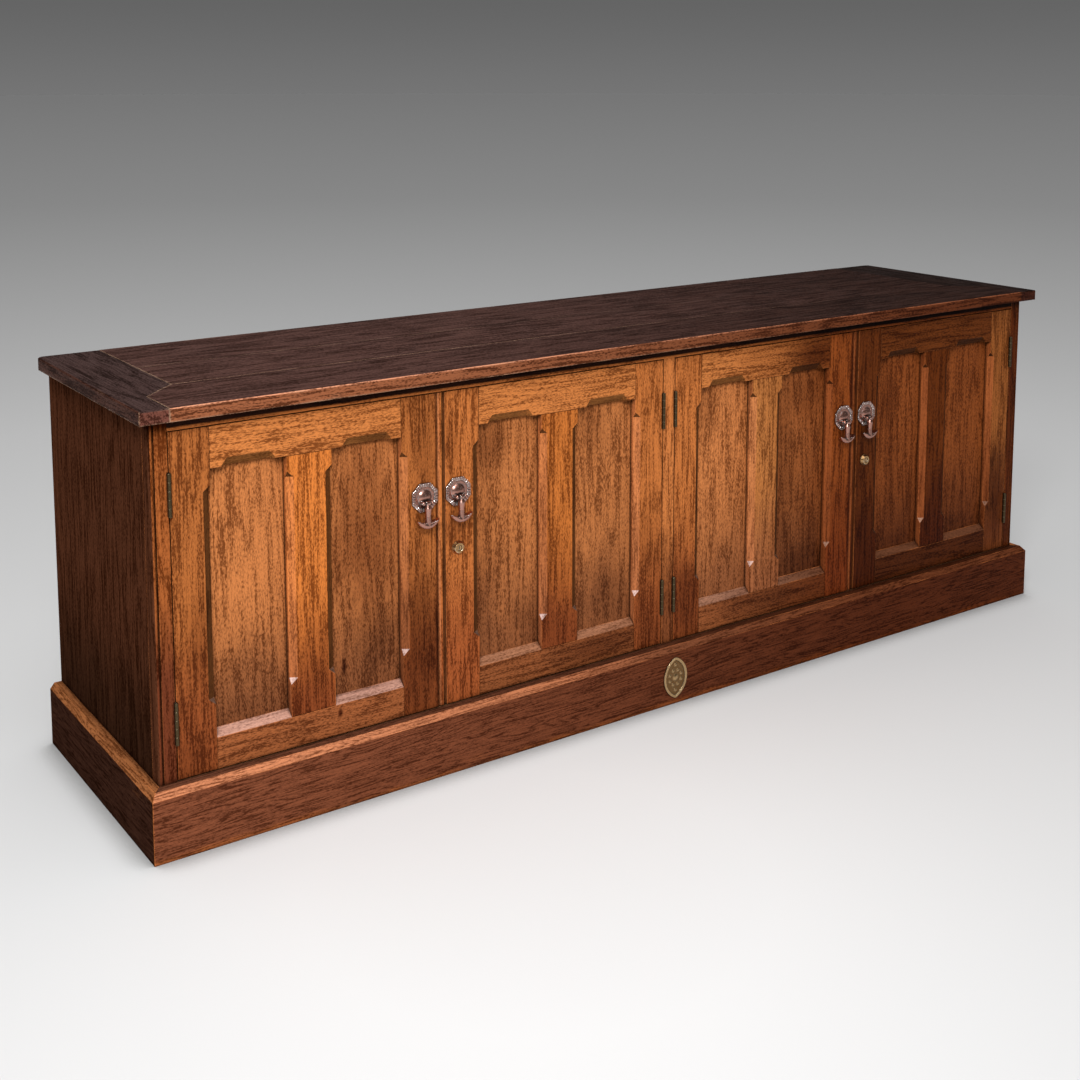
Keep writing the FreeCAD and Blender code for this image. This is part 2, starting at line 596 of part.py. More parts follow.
def make_handle_masters():
    """Plate with its pin and nut, and the drop, drawn flat: X right, Y up, Z out of the door."""
    to_corner = f"cos(180 deg / {PLATE_SIDES})"
    corner = f"plate_width / 2 / {to_corner}"
    rim = prism("plate_rim", PLATE_SIDES, corner, "plate_rim_height")
    rim_room = prism("plate_rim_room", PLATE_SIDES, f"(plate_width / 2 - plate_rim_width) / {to_corner}",
                     "plate_rim_height")
    nut_low = "-door_thickness - handle_nut_height"
    notches = []
    notch_start = "(plate_width / 2 - 2 * plate_rim_width)"
    for index in range(PLATE_NOTCHES):
        angle = FULL_TURN * index / PLATE_NOTCHES
        outward = FreeCAD.Rotation(FreeCAD.Vector(0, 0, 1), angle).multiply(ALONG_X)
        notches.append(cylinder(f"plate_notch_{index}", "plate_notch_radius", "4 * plate_rim_width",
                                f"{notch_start} * cos({angle} deg)", f"{notch_start} * sin({angle} deg)",
                                "plate_rim_height", outward))
    pieces = [
        prism("plate_ground", PLATE_SIDES, corner, "plate_thickness"),
        cut("plate_rim_ring", rim, [rim_room] + notches),
        dome("plate_boss", "boss_radius", "boss_height"),
        cylinder("plate_stud", "handle_stud_radius", f"plate_thickness - ({nut_low})", z=nut_low),
    ]
    for hand in ("-", ""):
        x = f"{hand}lug_spacing / 2"
        ball = doc.addObject("Part::Sphere", "lug_ball")
        bind(ball, Radius="lug_radius")
        pieces.append(move(ball, x, "-pivot_drop", "pivot_stand_off"))
        pieces.append(cylinder("lug_neck", "lug_neck_radius", "pivot_stand_off", x, "-pivot_drop"))
    pin_hole = cylinder("lug_hole", "pivot_radius", "lug_spacing + 2 * lug_radius",
                        "-lug_spacing / 2 - lug_radius", "-pivot_drop", "pivot_stand_off", ALONG_X)
    pin = cylinder("pivot_pin", "pivot_radius", "lug_spacing + lug_radius",
                   "-lug_spacing / 2 - lug_radius / 2", "-pivot_drop", "pivot_stand_off", ALONG_X)
    plate = cut("plate_solid", fuse("plate_blank", pieces), [pin_hole])
    nut_blank = prism("nut_blank", NUT_SIDES, "handle_nut_width / 2", "handle_nut_height", nut_low)
    nut = cut("nut", nut_blank, [cylinder("nut_hole", "handle_stud_radius", "handle_nut_height", z=nut_low)])
    eye = cylinder("drop_eye", "eye_radius", "eye_length", "-eye_length / 2", rotation=ALONG_X)
    shank = []
    for name, upper, lower, start, end in (
            ("neck", "shank_head_radius", "shank_bell_radius", "0", "shank_bell_drop"),
            ("bell", "shank_bell_radius", "shank_waist_radius", "shank_bell_drop", "shank_waist_drop"),
            ("flare", "shank_waist_radius", "shank_foot_radius", "shank_waist_drop",
             "(drop_length - foot_thickness / 2)")):
        cone = doc.addObject("Part::Cone", f"drop_{name}")
        bind(cone, Radius1=upper, Radius2=lower, Height=f"{end} - {start}")
        shank.append(move(cone, y=f"-{start}", rotation=UPRIGHT_TO_WALL))
    foot = make_crescent("-drop_length")
    drop_bore = cylinder("drop_bore", "pivot_radius + pin_play", "eye_length", "-eye_length / 2", rotation=ALONG_X)
    drop = cut("drop_solid", fuse("drop_blank", [eye, foot] + shank), [drop_bore])
    return {"plate": group("plate_set", [plate, pin, nut]), "drop": drop}


def make_lock_masters():
    """Barrel, and plug with its cam, drawn flat like the handles."""
    tail = "-door_thickness - barrel_tail"
    rim = doc.addObject("Part::Cone", "barrel_rim")
    bind(rim, Radius1="lock_rim_radius", Radius2="lock_face_radius", Height="lock_rim_height")
    barrel = fuse("barrel_blank", [
        rim,
        cylinder("barrel_body", "barrel_radius", "door_thickness + barrel_tail", z=tail),
    ])
    bore = cylinder("barrel_bore", "plug_radius + pin_play", "door_thickness + barrel_tail + lock_rim_height", z=tail)
    cam_low = f"{tail} - cam_play - cam_thickness"
    plug_high = "lock_rim_height - plug_recess"
    slot = box("key_slot", ("-key_slot_width / 2", "key_slot_width / 2"),
               ("-key_slot_length / 2", "key_slot_length / 2"), (f"{plug_high} - key_slot_depth", plug_high))
    cam_z = (cam_low, f"{cam_low} + cam_thickness")
    plug = fuse("plug_blank", [
        cylinder("plug_body", "plug_radius", f"{plug_high} - ({cam_low})", z=cam_low),
        box("cam_arm", ("-cam_width / 2", "cam_width / 2"), ("-cam_length", "0"), cam_z),
        cylinder("cam_heel", "cam_width / 2", "cam_thickness", z=cam_low),
    ])
    return {"barrel": cut("barrel_solid", barrel, [bore]), "plug": cut("plug_solid", plug, [slot])}


def make_turn_button():
    """Round-ended bar on a stud, drawn flat like the handles, behind the door."""
    low = "-door_thickness - button_play - button_thickness"
    z = (low, f"{low} + button_thickness")
    reach = "(button_length - button_width) / 2"
    return fuse("turn_button_solid", [
        box("button_bar", (f"-{reach}", reach), ("-button_width / 2", "button_width / 2"), z),
        cylinder("button_end_left", "button_width / 2", "button_thickness", f"-{reach}", "0", low),
        cylinder("button_end_right", "button_width / 2", "button_thickness", reach, "0", low),
        cylinder("button_stud", "button_stud_radius", "button_stud_depth + button_play + button_thickness", z=low),
    ])


def make_ornament():
    """Pointed-oval plate with a raised rim, a boss in a ring of beads, and a bead in each point."""
    half = "ornament_width / 2"
    reach = "(ornament_height / 2)"
    arc = f"(({reach})^2 + ({half})^2) / (2 * {half})"
    arc_in = f"{arc} - ornament_rim"
    solids = {}
    for name, radius, height in (("ground", arc, "ornament_thickness"), ("rim", arc, "ornament_rim_height"),
                                 ("room", arc_in, "ornament_rim_height")):
        discs = [cylinder(f"ornament_{name}_{side}", radius, height, f"{side}1 * ({arc} - {half})")
                 for side in ("-", "+")]
        solids[name] = doc.addObject("Part::MultiCommon", f"ornament_{name}")
        solids[name].Shapes = discs
    pieces = [
        solids["ground"],
        cut("ornament_ring", solids["rim"], [solids["room"]]),
        dome("ornament_boss", "ornament_boss_radius", "ornament_boss_height"),
    ]
    tip = f"({reach} - ornament_tip_margin)"
    places = [("0", f"{sign}{tip}") for sign in ("-", "+")]
    for index in range(ORNAMENT_BEADS):
        angle = f"{FULL_TURN * (index + HALF) / ORNAMENT_BEADS} deg"
        places.append((f"ornament_ring_radius * cos({angle})", f"ornament_ring_radius * sin({angle})"))
    for index, (x, y) in enumerate(places):
        pieces.append(dome(f"ornament_bead_{index}", "ornament_bead_radius", "ornament_bead_height", x, y))
    plate = fuse("ornament_plate", pieces)
    node(copy("plinth_ornament", plate, "centre_stile_shift", "front_y", "ornament_centre", UPRIGHT_TO_WALL))


class Door:
    """One door: where it hangs, and how far a point of it lies from its hinge edge."""

    def __init__(self, index):
        self.name = f"door_{index}"
        self.left_leaf = index % 2 == 1
        left_pair = index < 3
        low, high = ("-opening_half", "centre_low") if left_pair else ("centre_high", "opening_half")
        shift = "left_meeting_shift" if left_pair else "right_meeting_shift"
        meeting = f"(({low}) + ({high}) - bead_width) / 2 + {shift}"
        self.hinge_x = f"({low}) + hinge_gap" if self.left_leaf else f"({high}) - hinge_gap"
        self.meeting_x = f"({meeting}) - meeting_gap / 2" if self.left_leaf else f"({meeting}) + meeting_gap / 2"
        self.pin_x = f"({low}) + hinge_gap / 2" if self.left_leaf else f"({high}) - hinge_gap / 2"
        self.width = f"abs(({self.meeting_x}) - ({self.hinge_x}))"
        self.meeting_width = "meeting_stile_width" if self.left_leaf else "(meeting_stile_width + bead_width)"
        self.meeting_at = f"({self.width} - {self.meeting_width})"
        self.muntin_at = f"((hinge_stile_width + {self.meeting_at} - muntin_width) / 2)"
        self.turn = STRAIGHT if self.left_leaf else TURNED_ROUND

    def x(self, offset):
        """Place of a point that lies an offset from the hinge edge."""
        return f"({self.hinge_x}) {'+' if self.left_leaf else '-'} ({offset})"

    def span(self, near, far):
        """Limits of a stretch of the door, given from its hinge edge."""
        ends = (self.x(near), self.x(far))
        return ends if self.left_leaf else ends[::-1]

    def openings(self):
        """The two panel openings, each from its near to its far edge."""
        return [("hinge_stile_width", self.muntin_at), (f"{self.muntin_at} + muntin_width", self.meeting_at)]

    def edge_chamfer(self, name, tools, offset, wood_beyond):
        """A stopped chamfer on an upright's edge. The wood lies beyond the edge, or short of it."""
        tool = tools[wood_beyond == self.left_leaf]
        return copy(f"{self.name}_{name}", tool, self.x(offset), "face_y", "chamfer_low")

    def hinge_copies(self, kind, master):
        """Copies of one hinge piece at the door's two hinges."""
        return [copy(f"{self.name}_{kind}_{z}", master, self.pin_x, "pin_y", z, self.turn)
                for z in ("hinge_high", "hinge_low")]


def make_frame(doors, hinge):
    """Three stiles and the head rail of the face frame, with the hinge pockets."""
    depth = ("face_y", "frame_back_y")
    full = ("0", "top_low")
    pockets = {door.name: door.hinge_copies("frame_pocket", hinge["frame_pocket"]) for door in doors}
    for name, edge, limit, into, door in (("left_stile", "-case_half", "-opening_half", "1", "door_1"),
                                          ("right_stile", "case_half", "opening_half", "-1", "door_4")):
        x = (edge, limit) if into == "1" else (limit, edge)
        blank = box(f"{name}_blank", x, depth, full)
        stile = beaded(name, blank, edge, into, "corner_bead", "corner_quirk", full)
        node(cut(name, stile, pockets[door]))
    blank = box("centre_stile_blank", ("centre_low", "centre_high"), depth, ("0", "head_low"))
    node(cut("centre_stile", blank, pockets["door_2"] + pockets["door_3"]))
    node(box("head_rail", ("-opening_half", "opening_half"), depth, ("head_low", "top_low")))


def make_hinges(doors, hinge):
    """Frame leaves and pins on the case, door leaves on the doors."""
    leaves, pins = [], []
    for door in doors:
        leaves += door.hinge_copies("frame_leaf", hinge["frame_leaf"])
        pins += door.hinge_copies("hinge_pin", hinge["pin"])
        node(group(f"{door.name}_hinge_leaves", door.hinge_copies("door_leaf", hinge["door_leaf"])))
    node(group("hinge_frame_leaves", leaves))
    node(group("hinge_pins", pins))


def make_door_frame(door, chamfers, hinge):
    """Stiles, rails, muntin and panels of one door."""
    thick = ("face_y", "door_back_y")
    groove = ("groove_low_y", "groove_high_y")
    tall = ("door_low", "door_high")
    name = door.name
    inner = "hinge_stile_width"

    blank = box(f"{name}_hinge_blank", door.span("0", inner), thick, tall)
    tools = [box(f"{name}_hinge_groove", door.span(f"{inner} - groove_depth", inner), groove, tall),
             door.edge_chamfer("hinge_chamfer", chamfers, inner, False)]
    tools += door.hinge_copies("door_pocket", hinge["door_pocket"])
    node(cut(f"{name}_hinge_stile", blank, tools))

    blank = box(f"{name}_meeting_blank", door.span(door.meeting_at, door.width), thick, tall)
    if not door.left_leaf:
        blank = beaded(f"{name}_meeting", blank, door.meeting_x, "1", "meeting_bead", "meeting_quirk", tall)
    tools = [box(f"{name}_meeting_groove", door.span(door.meeting_at, f"{door.meeting_at} + groove_depth"),
                 groove, tall),
             door.edge_chamfer("meeting_chamfer", chamfers, door.meeting_at, True)]
    node(cut(f"{name}_meeting_stile", blank, tools + make_fitting_holes(door)))

    clear = door.span(inner, door.meeting_at)
    end_tongues = (("hinge_end", door.span(f"{inner} - groove_depth", inner)),
                   ("meeting_end", door.span(door.meeting_at, f"{door.meeting_at} + groove_depth")))
    blank = [box(f"{name}_top_rail_blank", clear, thick, ("rail_low", "door_high"))]
    blank += [box(f"{name}_top_rail_{end}", x, groove, ("rail_low + groove_depth", "door_high"))
              for end, x in end_tongues]
    tools = [box(f"{name}_top_rail_groove", clear, groove, ("rail_low", "rail_low + groove_depth"))]
    for index, (near, far) in enumerate(door.openings(), start=1):
        low, high = door.span(f"{near} + rail_chamfer_margin", f"{far} - rail_chamfer_margin")
        length = f"({high}) - ({low}) - 2 * chamfer_stop"
        tool = stop_chamfer(f"{name}_rail_chamfer_{index}", "rail_chamfer_height", "chamfer_depth", length, False)
        tools.append(copy(f"{name}_rail_chamfer_{index}_tool", tool, f"{low} + chamfer_stop", "face_y", "rail_low",
                          ALONG_X))
    top_rail = cut(f"{name}_top_rail", fuse(f"{name}_top_rail_joined", blank), tools)

    middle = door.span(door.muntin_at, f"{door.muntin_at} + muntin_width")
    middle_tongue = door.span(f"{door.muntin_at} + groove_depth", f"{door.muntin_at} + muntin_width - groove_depth")
    blank = [box(f"{name}_bottom_rail_blank", clear, thick, ("door_low", "sill_high"))]
    blank += [box(f"{name}_bottom_rail_{end}", x, groove, ("door_low", "sill_high - groove_depth"))
              for end, x in end_tongues]
    tools = [box(f"{name}_bottom_rail_groove", clear, groove, ("sill_high - groove_depth", "sill_high")),
             box(f"{name}_bottom_rail_seat", middle, thick, ("sill_low", "sill_high")),
             box(f"{name}_bottom_rail_mortise", middle_tongue, groove, ("sill_low - groove_depth", "sill_low"))]
    grooved = cut(f"{name}_bottom_rail_grooved", fuse(f"{name}_bottom_rail_joined", blank), tools)
    sills = []
    for index, (near, far) in enumerate(door.openings(), start=1):
        low, high = door.span(near, far)
        sill = doc.addObject("Part::Wedge", f"{name}_sill_{index}")
        bind(sill, Xmin="0", X2min="0", Xmax=f"({high}) - ({low})", X2max=f"({high}) - ({low})", Ymin="0",
             Ymax="panel_recess", Zmin="0", Zmax="sill_rise", Z2min="sill_rise", Z2max="sill_rise")
        sills.append(move(sill, low, "face_y", "sill_low"))
    bottom_rail = cut(f"{name}_bottom_rail", grooved, sills)
    node(group(f"{name}_rails", [top_rail, bottom_rail]))

    upright = ("sill_low", "rail_low")
    blank = [box(f"{name}_muntin_blank", middle, thick, upright),
             box(f"{name}_muntin_head", middle_tongue, groove, ("rail_low", "rail_low + groove_depth")),
             box(f"{name}_muntin_foot", middle_tongue, groove, ("sill_low - groove_depth", "sill_low"))]
    tools = []
    for edge, offset, beyond in (("near", door.muntin_at, True), ("far", f"{door.muntin_at} + muntin_width", False)):
        inward = f"{offset} + groove_depth" if beyond else f"{offset} - groove_depth"
        limits = (offset, inward) if beyond else (inward, offset)
        tools.append(box(f"{name}_muntin_groove_{edge}", door.span(*limits), groove, upright))
        tools.append(door.edge_chamfer(f"muntin_chamfer_{edge}", chamfers, offset, beyond))
    node(cut(f"{name}_muntin", fuse(f"{name}_muntin_joined", blank), tools))

    panels = []
    for index, (near, far) in enumerate(door.openings(), start=1):
        panels.append(box(f"{name}_panel_{index}", door.span(f"{near} - panel_tongue", f"{far} + panel_tongue"),
                          ("panel_low_y", "panel_low_y + panel_thickness"),
                          ("sill_high - panel_tongue", "rail_low + panel_tongue")))
    node(group(f"{name}_panels", panels))


def fitting_places(door):
    """Middles of the handle, the lock and the turn-button of a door."""
    offset = "handle_edge_offset" if door.left_leaf else "lock_edge_offset"
    fitting_x = door.x(f"{door.width} - ({offset})")
    button_x = door.x(f"{door.width} - button_edge_offset")
    return {"handle": (fitting_x, "handle_z"), "lock": (fitting_x, "lock_z"), "button": (button_x, "button_z")}


def make_fitting_holes(door):
    """Holes through a meeting stile for the handle and the lock, and a blind one for the turn-button."""
    places = fitting_places(door)
    wanted = [("handle", "handle_stud_radius", "door_thickness")]
    if door.left_leaf:
        wanted.append(("button", "button_stud_radius", "button_stud_depth + button_stud_end_play"))
    else:
        wanted.append(("lock", "barrel_radius", "door_thickness"))
    return [cylinder(f"{door.name}_{kind}_hole", f"{radius} + stud_play", depth, places[kind][0],
                     "door_back_y", places[kind][1], UPRIGHT_TO_WALL) for kind, radius, depth in wanted]


def make_fittings(door, handle, lock, button):
    """Handle, and lock or turn-button, of one door."""
    places = fitting_places(door)
    name = door.name

    def fit(label, master, kind, out="0", down="0"):
        x, z = places[kind]
        node(copy(f"{name}_{label}", master, x, f"face_y - {out}", f"{z} - {down}", UPRIGHT_TO_WALL))

    fit("handle_plate", handle["plate"], "handle")
    fit("handle_drop", handle["drop"], "handle", "pivot_stand_off", "pivot_drop")
    if door.left_leaf:
        fit("turn_button", button, "button")
    else:
        fit("lock_barrel", lock["barrel"], "lock")
        fit("lock_plug", lock["plug"], "lock")


def make_doors(doors, hinge):
    """All four doors with their fittings."""
    chamfers = make_chamfer_tools()
    handle = make_handle_masters()
    lock = make_lock_masters()
    button = make_turn_button()
    for door in doors:
        make_door_frame(door, chamfers, hinge)
        make_fittings(door, handle, lock, button)


def check_document():
    """Stop if any object failed or any sub-part is empty or broken."""
    for item in doc.Objects:
        if "Invalid" in item.State or "Error" in item.State:
            raise RuntimeError(f"{item.Label} failed: {item.getStatusString()}")
    for item in NODES:
        if item.Shape.isNull() or not item.Shape.isValid() or not item.Shape.Solids:
            raise RuntimeError(f"{item.Label} has no sound shape")


def write_parts():
    """One file for each sub-part."""
    os.makedirs("parts", exist_ok=True)
    for item in NODES:
        solids = item.Shape.Solids
        shape = solids[0] if len(solids) == 1 else Part.makeCompound(solids)
        shape.exportStep(f"parts/{item.Label}.step")
        print(f"{item.Label}: {len(solids)} solids, {shape.Volume / 1000:.1f} cm3")


def main():
    fill_sheet()
    doors = [Door(index) for index in (1, 2, 3, 4)]
    hinge = make_hinge_masters()
    make_top()
    make_sides()
    make_frame(doors, hinge)
    make_inside()
    make_plinth()
    make_ornament()
    make_hinges(doors, hinge)
    make_doors(doors, hinge)
    doc.recompute()
    check_document()
    write_parts()


main()
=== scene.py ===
"""Finishes and stage for a long oak dresser base with four framed doors."""

import math

import bpy
from bpy.props import FloatProperty, FloatVectorProperty, PointerProperty
from bpy.types import Operator, Panel, PropertyGroup
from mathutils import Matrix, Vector


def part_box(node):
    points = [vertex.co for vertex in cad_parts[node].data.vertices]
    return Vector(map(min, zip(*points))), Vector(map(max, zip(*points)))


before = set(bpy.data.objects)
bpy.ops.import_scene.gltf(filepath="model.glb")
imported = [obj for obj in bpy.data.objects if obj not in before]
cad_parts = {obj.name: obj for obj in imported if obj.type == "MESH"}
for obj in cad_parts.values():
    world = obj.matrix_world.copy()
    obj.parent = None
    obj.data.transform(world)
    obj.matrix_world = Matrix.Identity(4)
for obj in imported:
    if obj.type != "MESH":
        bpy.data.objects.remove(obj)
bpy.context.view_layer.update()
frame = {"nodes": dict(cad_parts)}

bl_info = {
    "name": "Dresser Base Finishes",
    "version": (1, 0, 0),
    "blender": (4, 5, 0),
    "location": "3D View > Sidebar > Dresser",
    "description": "Aged oak, bronze and brass finishes for a four-door dresser base, and its stage",
    "category": "Material",
}

DOORS = (1, 2, 3, 4)
AXES = {"X": 0, "Y": 1, "Z": 2}

# Blender's socket numbers on a Mix node set to colours.
MIX_FACTOR = 0
MIX_FIRST = 6
MIX_SECOND = 7
MIX_RESULT = 2


def srgb(red, green, blue):
    """A colour as the eye reads it, 0 to 255, turned into a linear colour."""

    def linear(level):
        share = level / 255
        if share <= 0.04045:
            return share / 12.92
        return ((share + 0.055) / 1.055) ** 2.4

    return tuple(linear(level) for level in (red, green, blue))


def tint(tone):
    """A tone as a tint of three channels. A single number darkens or lightens all three alike."""
    return tone if isinstance(tone, tuple) else (tone, tone, tone)


def tinted(colour, shares, most=1.0):
    """A colour multiplied by a tint, channel by channel."""
    return tuple(min(most, part * share) for part, share in zip(colour, shares))


def a_colour(name, description, *levels):
    """A colour that a user may change."""
    return FloatVectorProperty(
        name=name, description=description, subtype="COLOR", size=3, min=0, max=1, default=srgb(*levels)
    )


def a_length(name, description, metres):
    """A length that a user may change."""
    return FloatProperty(
        name=name, description=description, subtype="DISTANCE", unit="LENGTH", min=0, default=metres
    )


def an_angle(name, description, degrees):
    """An angle that a user may change."""
    return FloatProperty(
        name=name, description=description, subtype="ANGLE", unit="ROTATION", default=math.radians(degrees)
    )


def a_place(name, description, *place):
    """A place that a user may change."""
    return FloatVectorProperty(
        name=name, description=description, subtype="TRANSLATION", unit="LENGTH", size=3, default=place
    )


class OakSettings(PropertyGroup):
    """Colours of the oak, piece by piece, and the sizes of its grain and wear."""

    top: a_colour("Top", "Upper face of the top", 76, 50, 44)
    top_edge: a_colour("Top Edge", "Front edge of the top", 126, 74, 48)
    # Painted highlight on the rounded upper arris of the top's front.
    top_arris_highlight: a_colour("Top Arris", "Rubbed upper arris along the front", 196, 130, 98)
    clamp_edge: a_colour("Clamp Edge", "Ends and sides of the clamps", 92, 54, 44)
    # Rubbed joints and arrises of the top: wear, with a painted highlight that is brightest at the left.
    top_seam_wear_and_highlight: a_colour("Top Seam", "Rubbed joints of the top", 176, 142, 116)
    side: a_colour("Side", "Outer sides of the case", 73, 41, 26)
    corner: a_colour("Corner Stile", "Stile at the right end of the case", 122, 65, 30)
    left_corner: a_colour("Left Corner Stile", "Stile at the left end of the case", 142, 78, 38)
    left_corner_foot: a_colour("Left Corner Foot", "Lower part of that stile", 95, 47, 28)
    frame: a_colour("Face Frame", "Centre stile of the face frame", 176, 104, 54)
    frame_foot: a_colour("Face Frame Foot", "Lower part of the centre stile", 110, 60, 32)
    stile: a_colour("Door Stile", "Upper part of the door stiles", 168, 97, 48)
    stile_foot: a_colour("Stile Foot", "Lower part of the door stiles", 122, 62, 30)
    rail: a_colour("Door Rail", "Top rails of the doors", 188, 113, 59)
    rail_foot: a_colour("Bottom Rail", "Bottom rails of the doors", 144, 82, 46)
    panel: a_colour("Door Panel", "Upper part of the door panels", 178, 108, 60)
    panel_foot: a_colour("Panel Foot", "Lower part of the panels", 132, 78, 46)
    muntin: a_colour("Muntin", "Upper part of the muntins", 190, 108, 48)
    muntin_foot: a_colour("Muntin Foot", "Lower part of the muntins", 118, 58, 28)
    # These five colours are painted light and shade, laid on faces by the way they are turned: light on
    # chamfers turned left, shade on chamfers turned right or down and under the top rails, and highlights on
    # the stops and, over their own oak, on the sills.
    lit_chamfer: a_colour("Rubbed Chamfer", "Chamfers rubbed by hands", 196, 122, 78)
    shaded_chamfer: a_colour("Stained Chamfer", "Chamfers where polish has gathered", 74, 44, 20)
    shaded_soffit: a_colour("Soffit", "Chamfers under the top rails", 118, 74, 36)
    sill_with_highlight: a_colour("Sill", "Sills of the bottom rails", 160, 114, 91)
    stop: a_colour("Chamfer Stop", "Stops at the feet of the chamfers", 206, 176, 168)
    plinth: a_colour("Plinth", "Faces of the plinth", 114, 64, 42)
    ledge: a_colour("Plinth Ledge", "Worn upper edge of the plinth", 140, 86, 50)
    # Painted shadow on the flat along the plinth's front under the doors, and a painted highlight on its
    # chamfer.
    front_ledge_shadow: a_colour("Front Ledge", "Dirty flat along the plinth's front", 92, 56, 40)
    plinth_chamfer_highlight: a_colour("Plinth Chamfer", "Rubbed chamfer along the plinth's front", 186, 118, 82)
    inside: a_colour("Inside", "Unpolished oak inside the cupboards", 128, 90, 58)
    arris: a_colour("Worn Arris", "Edges rubbed through to paler oak", 200, 116, 60)
    # Painted shade and dirt: this colour darkens corners and tight gaps, where shade falls, as well as
    # joints.
    grime: a_colour("Grime", "Dirt in corners and gaps", 20, 10, 6)
    # Painted shadow: the head rail under the top's overhang takes this near-black colour in place of the
    # shade there.
    shadow: a_colour("Shadow", "Old polish under the top's overhang", 36, 16, 8)
    stain: a_colour("Stain", "Tint of stained patches", 122, 94, 80)
    side_foot: a_colour("Side Foot", "Lower part of the outer sides", 46, 26, 16)
    worn_foot: a_colour("Worn Foot", "Scuffed bottom edge of the plinth", 156, 88, 48)
    darker_end: a_colour("Age", "Tint of the darker right-hand end", 168, 148, 130)

    streak_width: a_length("Streak Width", "Width of the broad grain streaks", 0.0034)
    streak_length: a_length("Streak Length", "Length of the broad grain streaks", 0.075)
    fleck_width: a_length("Fleck Width", "Width of the fine grain flecks", 0.0022)
    fleck_length: a_length("Fleck Length", "Length of the fine grain flecks", 0.0062)
    pore_width: a_length("Pore Width", "Width of the open pores", 0.0012)
    pore_length: a_length("Pore Length", "Length of the open pores", 0.010)
    ring_width: a_length("Ring Width", "Width of the growth-ring figure", 0.05)
    ring_length: a_length("Ring Length", "Length of the growth-ring figure", 0.6)
    mottle_size: a_length("Mottle Size", "Size of the patches in the polish", 0.10)
    arris_width: a_length("Arris Width", "How far the wear reaches in from an edge", 0.0024)
    # How far the painted shade and dirt reach out of a corner, and the width of the painted black shadow line
    # in a tight corner.
    grime_reach: a_length("Grime Reach", "How far dirt reaches out of a corner", 0.014)
    shadow_line_reach: a_length("Line Reach", "Width of the black line in a tight corner", 0.0045)
    seam_width: a_length("Seam Width", "Width of the dark line along a joint", 0.0016)


class MetalSettings(PropertyGroup):
    """Colours of the metal fittings."""

    bronze: a_colour("Bronze", "Open faces of the drop handles", 187, 136, 120)
    bronze_bright: a_colour("Rubbed Bronze", "Rubbed edges of the drop handles", 246, 240, 236)
    bronze_dark: a_colour("Bronze Patina", "Recesses of the drop handles", 22, 16, 14)
    lock: a_colour("Lock Brass", "Lock faces", 186, 142, 92)
    lock_bright: a_colour("Rubbed Lock Brass", "Rubbed edges of the locks", 240, 230, 206)
    lock_dark: a_colour("Lock Patina", "Recesses of the locks", 34, 24, 14)
    hinge: a_colour("Hinge Metal", "Knuckles of the hinges", 84, 70, 48)
    hinge_bright: a_colour("Rubbed Hinge Metal", "Rubbed edges of the hinges", 150, 136, 108)
    hinge_dark: a_colour("Hinge Patina", "Darkened metal of the hinges", 22, 17, 12)
    button: a_colour("Button Brass", "Turn-buttons inside the doors", 170, 132, 70)
    ornament: a_colour("Ornament Brass", "Plate on the plinth", 160, 120, 72)
    ornament_bright: a_colour("Rubbed Ornament Brass", "Rubbed edges of that plate", 240, 214, 168)
    ornament_dark: a_colour("Ornament Patina", "Recesses of that plate", 52, 32, 16)


class StageSettings(PropertyGroup):
    """Camera, lamps and floor."""

    camera_place: a_place("Camera Place", "Where the camera stands", -1.9828, -2.6194, 1.3585)
    camera_turn: an_angle("Camera Turn", "Turn of the camera from straight in front", -34.794)
    camera_tilt: an_angle("Camera Tilt", "How far the camera looks down", 7.208)
    lens: FloatProperty(
        name="Lens", description="Focal length of the camera", unit="CAMERA", default=49.94
    )
    frame_shift: FloatProperty(
        name="Frame Shift", description="Upright shift of the frame, as a share of its width", default=-0.2685
    )
    key_place: a_place("Key Place", "Where the key lamp hangs", -2.6, -3.0, 3.3)
    key_size: a_length("Key Size", "Side of the square key lamp", 1.3)
    key_power: FloatProperty(
        name="Key Power", description="Power of the key lamp", unit="POWER", min=0, default=150
    )
    sun_power: FloatProperty(
        name="Overhead Power", description="Strength of the soft light from overhead", min=0, default=1.0
    )
    sun_spread: an_angle("Overhead Spread", "How widely the overhead light is spread", 40)
    fill: FloatProperty(
        name="Fill", description="Even light from all round", subtype="FACTOR", min=0, max=1, default=0.45
    )
    # The floor's colours, from near to edge, paint a pool of light that is palest in front of the object.
    floor_near: a_colour("Floor Near", "Floor in front of the object", 222, 222, 222)
    floor_beside: a_colour("Floor Beside", "Floor beside the object", 214, 214, 214)
    floor_mid: a_colour("Floor Mid", "Floor just behind the object", 198, 198, 198)
    floor_far: a_colour("Floor Far", "Floor well behind the object", 154, 154, 154)
    floor_edge: a_colour("Floor Edge", "Farthest part of the floor", 136, 136, 136)
    floor_shade: a_colour("Floor Shade", "Floor close against the plinth", 96, 94, 92)
    backdrop: a_colour("Backdrop", "Backdrop above the floor's edge", 122, 122, 122)
    backdrop_high: a_colour("Backdrop High", "Backdrop overhead", 98, 98, 98)
    floor_radius: a_length("Floor Radius", "Radius of the round floor", 60.0)


